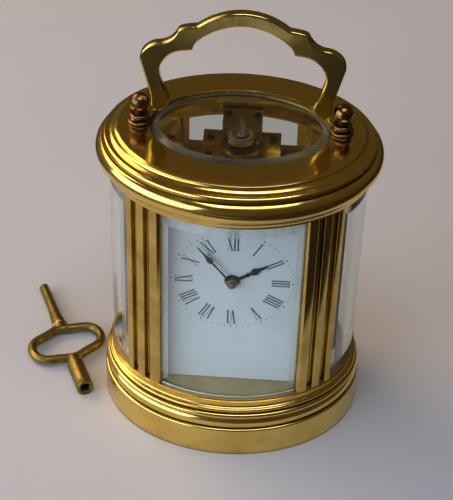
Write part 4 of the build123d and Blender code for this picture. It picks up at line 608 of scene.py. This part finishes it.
for name, node, start, end, columns in (
        ("bevelled_front_glass", "front_glass", -pilaster_start, pilaster_start, 40),
        ("bevelled_right_glass", "right_glass", pilaster_end, math.pi - pilaster_end, 64),
        ("bevelled_left_glass", "left_glass", math.pi + pilaster_end, 2 * math.pi - pilaster_end, 64)):
    pane = make_piece(name, *curved_pane(start, end, glass_low[2], glass_high[2], columns), pane_glass,
                      nodes=[node], slot="clear_glass", sharp=8)
    # The front's faces come first: three rows of them, with its four corners cut in two. Those of its
    # middle row stay clear, apart from that row's two ends.
    bevels = np.arange(len(pane.data.polygons)) < 3 * (columns + 1) + 4
    bevels[columns:2 * columns - 1] = False
    if node == "front_glass":
        # Its bottom bevel, which faces down, stays clear too.
        slope = face_heights(pane, "normal")
        paint(pane, side_bevel_glass, bevels & (np.abs(slope) < level))
        # The top bevel gets the heavily hazed glass, partly a painted reflection.
        paint(pane, bevel_glass, bevels & (slope > level))
    else:
        paint(pane, side_bevel_glass, bevels)

# A thin frosted lip along the foot of the front glass, half sunk in its bevel, is a painted highlight.
arris_angle = np.linspace(-pilaster_start, pilaster_start, 60)
arris_plan = np.concatenate([oval_at(glass_high[0], arris_angle, -arris_out),
                             oval_at(glass_high[0], arris_angle, -arris_in)[::-1]])
make_piece("front_glass_painted_highlight", *upright(arris_plan, glass_low[2], glass_low[2] + arris_height), painted_highlight_glass,
           slot="clear_glass")

rim_foot, rim_top, rim_gap = 100, 100.8, 0.02
top_pane_rows = [(26.3, 97.8, 0), (26.3, rim_foot, 0), (23.6, rim_top, 0)]
top_pane = make_piece("bevelled_top_glass", *oval_solid(section(top_pane_rows, 0.05, closed=False)),
                      pane_glass, nodes=["top_glass"], slot="clear_glass", sharp=12)
face_height = face_heights(top_pane, "center") / MM
paint(top_pane, rim_glass, (face_height > rim_foot + rim_gap) & (face_height < rim_top - rim_gap))

# ---------------- handle and posts
flat = top_high[2]
pivot_height = flat + 6.4
handle_depth, handle_edge = 3.0, 0.6
# Half of the handle's outline about its pivots: down its inside, round the foot and up its outside.
handle_half = [
    (0, 27.0, 0), (12.3, 22.0, -1.2), (14.0, 18.7, -0.5), (17.0, 18.3, 0), (23.5, 11.5, -1.6),
    (20.4, 2.4, -0.5), (23.3, -2, 0.8), (26, 0, 0.8), (26, 3.3, 0), (29.0, 15.1, 0), (22.8, 20.7, 1.6),
    (18.0, 25.3, -0.9), (12.8, 26.4, 0.2), (0, 31.2, 1.2)]
# Read backwards, an edge's bulge belongs to the row before it.
handle_rows = handle_half + [(-x, z, after[2])
                             for (x, z, _), after in zip(handle_half[-2:0:-1], handle_half[:1:-1])]
handle_rows[0] = (*handle_half[0][:2], handle_half[1][2])
handle_outline = softened(section(handle_rows, 0.2, steps=24), spacing=0.22, softness=0.5)
points, faces = flat_plate(handle_outline, -handle_depth / 2, handle_depth / 2, handle_edge)
make_piece("shaped_handle", points + [0, 0, pivot_height], faces, handle_brass, body="handle",
           nodes=["handle"], slot="handle_brass", sharp=50)

ball_reach, neck, post_out = 2.9, 1.3, 29.2
post_rows = [
    (3.1, flat, 0), (3.1, flat + 0.9, 0.3), (1.7, flat + 1.9, -0.3), (2.6, flat + 1.9, 0),
    (2.6, flat + 2.9, 0.3), (neck, flat + 2.9, 0)]
ball_turn = np.linspace(-math.acos(neck / ball_reach), math.pi / 2, 26)[:, None]
ball = np.hstack([ball_reach * np.cos(ball_turn), pivot_height + ball_reach * np.sin(ball_turn)])
ball[-1, 0] = TIP
post_profile = np.vstack([section(post_rows, 0.15, closed=False), ball])
for side, name in ((-1, "left"), (1, "right")):
    points, faces = turned(post_profile, 64)
    points[:, 0] += side * post_out
    make_piece(f"turned_post_{name}", points, faces, ball_brass, nodes=[f"handle_post_{name}"],
               slot="case_brass")

# ---------------- dial
dial_middle = np.array([0.0, 60.6])
figure_foot, figure_top, dot_ring = 11.45, 16.6, 17.6
thick, thin, serif, serif_reach = 0.44, 0.14, 0.12, 0.46
paint_front, paint_back = dial_face - 0.03, dial_face + 0.02
figures = ["XII", "I", "II", "III", "IIII", "V", "VI", "VII", "VIII", "IX", "X", "XI"]
pitch = {"I": 0.92, "V": 1.8, "X": 1.8}


def strokes(text):
    """Quads of (foot left, foot right, top right, top left), in millimetres across and from 0 to 1 up:
    upright thick bars for I, a thick stroke down to the right and a thin one down to the left for V and X,
    and a serif at each end, still without its height."""
    left = -sum(pitch[letter] for letter in text) / 2
    quads = []
    for letter in text:
        middle = left + pitch[letter] / 2
        if letter == "I":
            bars = [(middle, middle, thick)]
            feet = heads = [middle]
        else:
            arm = pitch[letter] / 2 - thick / 2
            foot = 0 if letter == "V" else arm
            bars = [(middle + foot, middle - arm, thick), (middle - foot, middle + arm, thin)]
            feet = [] if letter == "V" else [middle - foot, middle + foot]
            heads = [middle - arm, middle + arm]
        for foot_x, head_x, width in bars:
            quads.append([(foot_x - width / 2, 0), (foot_x + width / 2, 0),
                          (head_x + width / 2, 1), (head_x - width / 2, 1)])
        for ends, low in ((feet, 0), (heads, 1)):
            for x in ends:
                quads.append([(x - serif_reach, low), (x + serif_reach, low),
                              (x + serif_reach, low), (x - serif_reach, low)])
        left += pitch[letter]
    return quads


figure_quads = []
for hour, text in enumerate(figures):
    turn = math.radians(30 * hour)
    outward = np.array([math.sin(turn), math.cos(turn)])
    across = np.array([math.cos(turn), -math.sin(turn)])
    quads = np.array(strokes(text), dtype=float)
    rise = quads[..., 1] * (figure_top - figure_foot)
    # A foot's serif stands up from it, and a head's hangs down.
    foot_serif = (quads[..., 1] == 0).all(axis=1)
    head_serif = (quads[..., 1] == 1).all(axis=1)
    rise[foot_serif, 2:] += serif
    rise[head_serif, :2] -= serif
    figure_quads.append(dial_middle + quads[..., :1] * across + (figure_foot + rise)[..., None] * outward)
make_piece("dial_figures", *slabs(np.concatenate(figure_quads), paint_front, paint_back), figure_enamel,
           slot="dial_enamel")

hour_dot, minute_dot = 0.27, 0.17
minute = np.arange(60)
turn = np.radians(6 * minute)
size = np.where(minute % 5 == 0, hour_dot, minute_dot)
around = np.linspace(0, 2 * math.pi, 12, endpoint=False)
dots = (dial_middle + dot_ring * np.stack([np.sin(turn), np.cos(turn)], axis=-1))[:, None, :] \
    + size[:, None, None] * np.stack([np.cos(around), np.sin(around)], axis=-1)
make_piece("dial_minute_dots", *slabs(dots, paint_front, paint_back), figure_enamel, slot="dial_enamel")

hand_edge = 0.07
# Where each hand points, in degrees clockwise from XII, and its distance from the middle and half width: a
# tapering stem, a bead, a lozenge and a needle.
hand_shapes = {
    "minute_hand": ("minute_hand_arbor", 322.0, [
        (0, 0.42), (1.6, 0.3), (7.8, 0.15), (8.0, 0.3), (8.3, 0.37), (8.6, 0.3), (8.8, 0.16), (9.1, 0.24),
        (9.7, 0.62), (10.6, 0.98), (11.4, 0.64), (13.0, 0.22), (16.5, 0.1)]),
    "hour_hand": ("hour_work", 56.7, [
        (0, 0.5), (1.6, 0.4), (4.8, 0.26), (5.0, 0.45), (5.3, 0.56), (5.6, 0.45), (5.85, 0.24), (6.2, 0.3),
        (6.8, 0.66), (7.8, 1.1), (8.5, 0.7), (9.6, 0.26), (11.9, 0.12)]),
}
for name, (body, degrees, shape) in hand_shapes.items():
    along, half = np.array(shape).T
    outline = np.concatenate([np.stack([half, along], axis=-1), np.stack([-half, along], axis=-1)[::-1]])
    # Multiplied from the left, the outline turns clockwise.
    outline = dial_middle + softened(outline, spacing=0.06, softness=0.07) @ rotation(math.radians(degrees))
    low, high = corners(name)
    make_piece(f"fine_{name}", *flat_plate(outline, low[1], high[1], hand_edge, steps=4), hand_steel,
               body=body, nodes=[name], slot="hand_steel", sharp=50)
# The boss is a flat ring with a domed nut on it.
boss_rows = [(1.6, -0.4, 0), (1.6, 0.1, 0), (1.3, 0.3, 0), (1.05, 0.3, 0), (1.0, 0.8, 0), (0.8, 1.1, 0.1),
             (TIP, 1.3, 0.1)]
points, faces = turned(section(boss_rows, 0.12, closed=False), 48)
points = np.stack([points[:, 0], minute_hand_face - points[:, 2], dial_middle[1] + points[:, 1]], axis=-1)
make_piece("hand_boss", points, faces, browned_steel, body="minute_hand_arbor", slot="hand_steel")

# The balance's jewel sits in a ringed setting, held by two small screws.
jewel_middle = (jewel_low + jewel_high) / 2
setting_rows = [(1.85, 0, 0), (1.85, 0.25, 0), (1.6, 0.3, 0), (1.45, 0.12, 0), (1.2, 0.12, 0), (1.1, 0.3, 0),
                (0.85, 0.3, 0), (0.7, 0.1, 0.1), (TIP, 0.22, 0.05)]
jewel_top = np.array([*jewel_middle[:2], jewel_high[2]])
setting_sunk, screw_raised, screw_out, screw_forward = 0.05, 0.1, 0.62, 0.5
points, faces = turned(section(setting_rows, 0.05, closed=False), 48)
make_piece("jewel_setting", points + jewel_top - [0, 0, setting_sunk], faces, browned_steel)
screw_rows = [(0.3, 0, 0), (0.3, 0.25, 0), (TIP, 0.36, 0.05)]
for side, name in ((-1, "left"), (1, "right")):
    points, faces = turned(section(screw_rows, 0.05, closed=False), 24)
    points += jewel_top + [side * screw_out, -screw_forward, screw_raised]
    make_piece(f"setting_screw_{name}", points, faces, steel)

# ---------------- winding key
key_middle = (-56.0, 10.3)
key_turn, key_tilt, bow_turn = np.radians((23.3, -1.25, 7.5))
barrel_reach, tip_reach, barrel_radius, wire_radius = 23.5, 31.2, 2.75, 1.5
barrel_hole, barrel_hole_depth, tip_hole, tip_hole_depth = 1.4, 8.0, 0.82, 6.0
# How high the key's middle lies when the barrel's mouth, raised by the tilt, stands on the floor.
key_lift = key_foot + barrel_radius * math.cos(key_tilt) - barrel_reach * math.sin(-key_tilt)


def smooth_loop(knots, count):
    """Closed curve through the knots, even in speed: a cubic between each two knots whose slopes, from the
    periodic equations h1 s0 + 2 (h0 + h1) s1 + h0 s2 = 3 (h1 d0 + h0 d1), make its bend continuous."""
    step = np.hypot(*(np.roll(knots, -1, axis=0) - knots).T)
    rise = (np.roll(knots, -1, axis=0) - knots) / step[:, None]
    before = np.roll(step, 1)
    size = len(knots)
    row = np.arange(size)
    system = np.zeros((size, size))
    system[row, row] = 2 * (before + step)
    system[row, (row - 1) % size] = step
    system[row, (row + 1) % size] = before
    slope = np.linalg.solve(system, 3 * (step[:, None] * np.roll(rise, 1, axis=0) + before[:, None] * rise))
    place = np.linspace(0, step.sum(), count, endpoint=False)
    piece = np.searchsorted(np.cumsum(step), place, side="right")
    along = ((place - (np.cumsum(step) - step)[piece]) / step[piece])[:, None]
    length = step[piece][:, None]
    first, last = knots[piece], np.roll(knots, -1, axis=0)[piece]
    leave, arrive = slope[piece] * length, np.roll(slope, -1, axis=0)[piece] * length
    return ((2 * along ** 3 - 3 * along ** 2 + 1) * first + (along ** 3 - 2 * along ** 2 + along) * leave
            + (3 * along ** 2 - 2 * along ** 3) * last + (along ** 3 - along ** 2) * arrive)


def bent_tube(line, radius, sides=28):
    """Round wire bent along a closed flat line: circles in the plane of the line's side and Z."""
    ahead = np.roll(line, -1, axis=0) - np.roll(line, 1, axis=0)
    side = np.stack([ahead[:, 1], -ahead[:, 0]], axis=-1) / np.hypot(*ahead.T)[:, None]
    angle = np.linspace(0, 2 * math.pi, sides, endpoint=False)
    points = np.zeros((len(line), sides, 3))
    points[:, :, :2] = line[:, None, :] + radius * np.cos(angle)[None, :, None] * side[:, None, :]
    points[:, :, 2] = radius * np.sin(angle)
    return points.reshape(-1, 3), grid_faces(len(line), sides, close_rows=True, close_columns=True)


def socket_stem(outline, hole, depth, steps=64):
    """Turned stem along Z with a square hole in its end: circles of the outline's radii, a countersunk ring,
    then squares of half width hole, whose radius is hole / max(|cos|, |sin|), down to the hole's floor."""
    sink_share, sink_drop, edge_drop = 1.45, 0.05, 0.5
    angle = np.linspace(0, 2 * math.pi, steps, endpoint=False) + math.pi / steps
    square = hole / np.maximum(np.abs(np.cos(angle)), np.abs(np.sin(angle)))
    circles = np.broadcast_to(outline[:, :1], (len(outline), steps))
    radius = np.concatenate([circles, np.stack([np.full(steps, hole * sink_share), square, square])])
    inner_height = outline[-1, 1] - np.array([sink_drop, edge_drop, depth])
    height = np.concatenate([outline[:, 1], inner_height])[:, None] + 0 * radius
    points = np.stack([radius * np.cos(angle), radius * np.sin(angle), height], axis=-1)
    return points.reshape(-1, 3), capped_faces(len(radius), steps)


def lay_key(points, way=None):
    """From the key's own frame to where it lies: a stem's Z is laid along Y, then the key is tilted about X,
    turned about Z, moved to its place and dropped onto the floor."""
    if way:
        points = np.stack([points[:, 0], way * points[:, 2], -way * points[:, 1]], axis=-1)
    laid = np.array(points)
    laid[:, 1:] = laid[:, 1:] @ rotation(key_tilt).T
    laid[:, :2] = laid[:, :2] @ rotation(key_turn).T
    return laid + [*key_middle, key_lift]


# A quarter of the bow's middle line, from the tip's stem round to the side.
quarter = [(0, 7.7), (3.0, 7.0), (5.7, 6.1), (8.3, 5.4), (10.3, 4.2), (11.9, 0)]
half_bow = quarter + [(x, -y) for x, y in quarter[-2::-1]]
bow_knots = np.array(half_bow + [(-x, y) for x, y in half_bow[-2:0:-1]])
# The bow stands a little round from square to the stems.
bow_line = smooth_loop(bow_knots @ rotation(-bow_turn), 160)
points, faces = bent_tube(bow_line, wire_radius)
make_piece("key_bow", lay_key(points), faces, key_metal, body="key", nodes=["winding_key"], slot="key_brass")
barrel_rows = [(1.7, 7.3, 0), (2.3, 8.4, -0.1), (2.3, 10.4, 0), (barrel_radius, 11.5, 0.2),
               (barrel_radius, barrel_reach, 0), (2.15, barrel_reach, 0)]
points, faces = socket_stem(section(barrel_rows, 0.2, closed=False), barrel_hole, barrel_hole_depth)
make_piece("key_barrel", lay_key(points, -1), faces, key_metal, body="key", slot="key_brass")
tip_rows = [(1.7, 7.4, 0), (2.25, 9.4, 0.1), (2.15, 13.2, 0), (1.78, 17.0, 0), (1.68, tip_reach, 0),
            (1.25, tip_reach, 0)]
points, faces = socket_stem(section(tip_rows, 0.15, closed=False), tip_hole, tip_hole_depth)
make_piece("key_tip", lay_key(points, 1), faces, key_metal, body="key", slot="key_brass")
# The solder round each joint is a flattened bead with five low lumps.
bead_half_height, lumps, lump_height = 0.7, 5, 0.09
bead_turn = np.linspace(-math.pi / 2, math.pi / 2, 18)[:, None]
for name, way, middle, reach in (("key_solder_barrel", -1, 10.6, 2.62), ("key_solder_tip", 1, 9.5, 2.4)):
    bead = np.hstack([TIP + reach * np.cos(bead_turn), middle + bead_half_height * np.sin(bead_turn)])
    points, faces = turned(bead, 60)
    swell = 1 + lump_height * np.sin(lumps * np.arctan2(points[:, 1], points[:, 0]) + middle)
    points[:, :2] *= swell[:, None]
    make_piece(name, lay_key(points, way), faces, solder, body="key", slot="key_brass")

# ---------------- materials of the CAD nodes that stay
finish = {
    case_brass: ["base_cover", "door_knob", "hinge_pins", "case_screws", "movement_screws"],
    door_brass: ["door_frame"],
    pane_glass: ["door_glass"],
    dial_enamel: ["dial_plate"],
    ruby: ["balance_jewel"],
    index_steel: ["regulator_index"],
    steel: ["click", "click_spring", "ratchet_wheel", "pallet_lever", "balance_staff", "centre_arbor",
            "barrel_arbor", "hairspring_stud"],
    blue_steel: ["mainspring", "hairspring", "platform_screws", "plate_screws", "click_screw",
                 "pivot_screws"],
}
given = {node: material for material, nodes in finish.items() for node in nodes}
for node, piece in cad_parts.items():
    if not piece.hide_render:
        material = given.get(node, wheel_brass if "wheel" in node or "pinion" in node else movement_brass)
        piece.data.materials.clear()
        piece.data.materials.append(material)

# ---------------- floor, light and camera
card_half = 1400.0
card = bpy.data.meshes.new("floor_card")
card_corners = [(x * card_half * MM, y * card_half * MM, base_low[2] * MM)
                for x, y in ((-1, -1), (1, -1), (1, 1), (-1, 1))]
card.from_pydata(card_corners, [], [(0, 1, 2, 3)])
floor = bpy.data.objects.new("floor_card", card)
floor.data.materials.append(floor_card)
bpy.context.collection.objects.link(floor)

# A dim room: grey walls on the left that turn brown to the right, and a brown ceiling over them.
left_wall, right_wall, ceiling = (0.15, 0.15, 0.14, 1), (0.06, 0.047, 0.032, 1), (0.085, 0.06, 0.03, 1)
world = bpy.data.worlds.new("room")
world.use_nodes = True
tree = world.node_tree
tree.nodes.clear()
way = add(tree, "TexCoord").outputs["Generated"]
across = add(tree, "SeparateXYZ", {"Vector": way}).outputs
height = add(tree, "MapRange", {"Value": across["Z"], "From Min": 0.0, "From Max": 0.55}).outputs["Result"]
side = add(tree, "MapRange", {
    "Value": across["X"], "From Min": -0.9, "From Max": 0.5},
    interpolation_type="SMOOTHSTEP").outputs["Result"]
walls = add(tree, "Mix", {
    "Factor": side, "A": left_wall, "B": right_wall}, data_type="RGBA").outputs["Result"]
shade = add(tree, "Mix", {"Factor": height, "A": walls, "B": ceiling}, data_type="RGBA").outputs["Result"]
sky = add(tree, "Background", {"Color": shade, "Strength": 1.0}).outputs["Background"]
add(tree, "OutputWorld", {"Surface": sky})
bpy.context.scene.world = world


def lamp(name, place, aim, width, height, watts, colour):
    """Rectangular lamp at a place, turned to a point, all in millimetres."""
    light = bpy.data.lights.new(name, "AREA")
    light.shape = "RECTANGLE"
    light.size, light.size_y = width * MM, height * MM
    light.energy = watts
    light.color = linear(colour)[:3]
    stand = bpy.data.objects.new(name, light)
    spot, target = Vector(place) * MM, Vector(aim) * MM
    stand.location = spot
    stand.rotation_euler = (target - spot).to_track_quat("-Z", "Y").to_euler()
    stand.visible_camera = False
    bpy.context.collection.objects.link(stand)


lamp("window_left", (-1010, -560, 430), (0, 0, 50), 1700, 800, 14.6, "#E4ECFF")
lamp("lamp_back", (-1000, 600, 950), (0, 0, 40), 900, 900, 11.0, "#FFDCB0")
lamp("ceiling_front", (150, -500, 1700), (0, 0, 40), 1200, 700, 9.8, "#F2F4FF")

view_data = bpy.data.cameras.new("view")
view_data.sensor_width = 36.0
view_data.lens = 107.29
view_data.clip_start, view_data.clip_end = 0.01, 20
eye = bpy.data.objects.new("view", view_data)
# The eye's place and the directions to its right and over it.
place = Vector((12.554, -356.909, 342.188)) * MM
right = Vector((0.99763845, 0.06373887, 0.02559043))
above = Vector((-0.05987576, 0.62453478, 0.77869841))
turned_frame = Matrix((right, above, right.cross(above))).transposed().to_4x4()
eye.matrix_world = Matrix.Translation(place) @ turned_frame
bpy.context.collection.objects.link(eye)
bpy.context.scene.camera = eye

bpy.context.scene.view_settings.view_transform = "Standard"
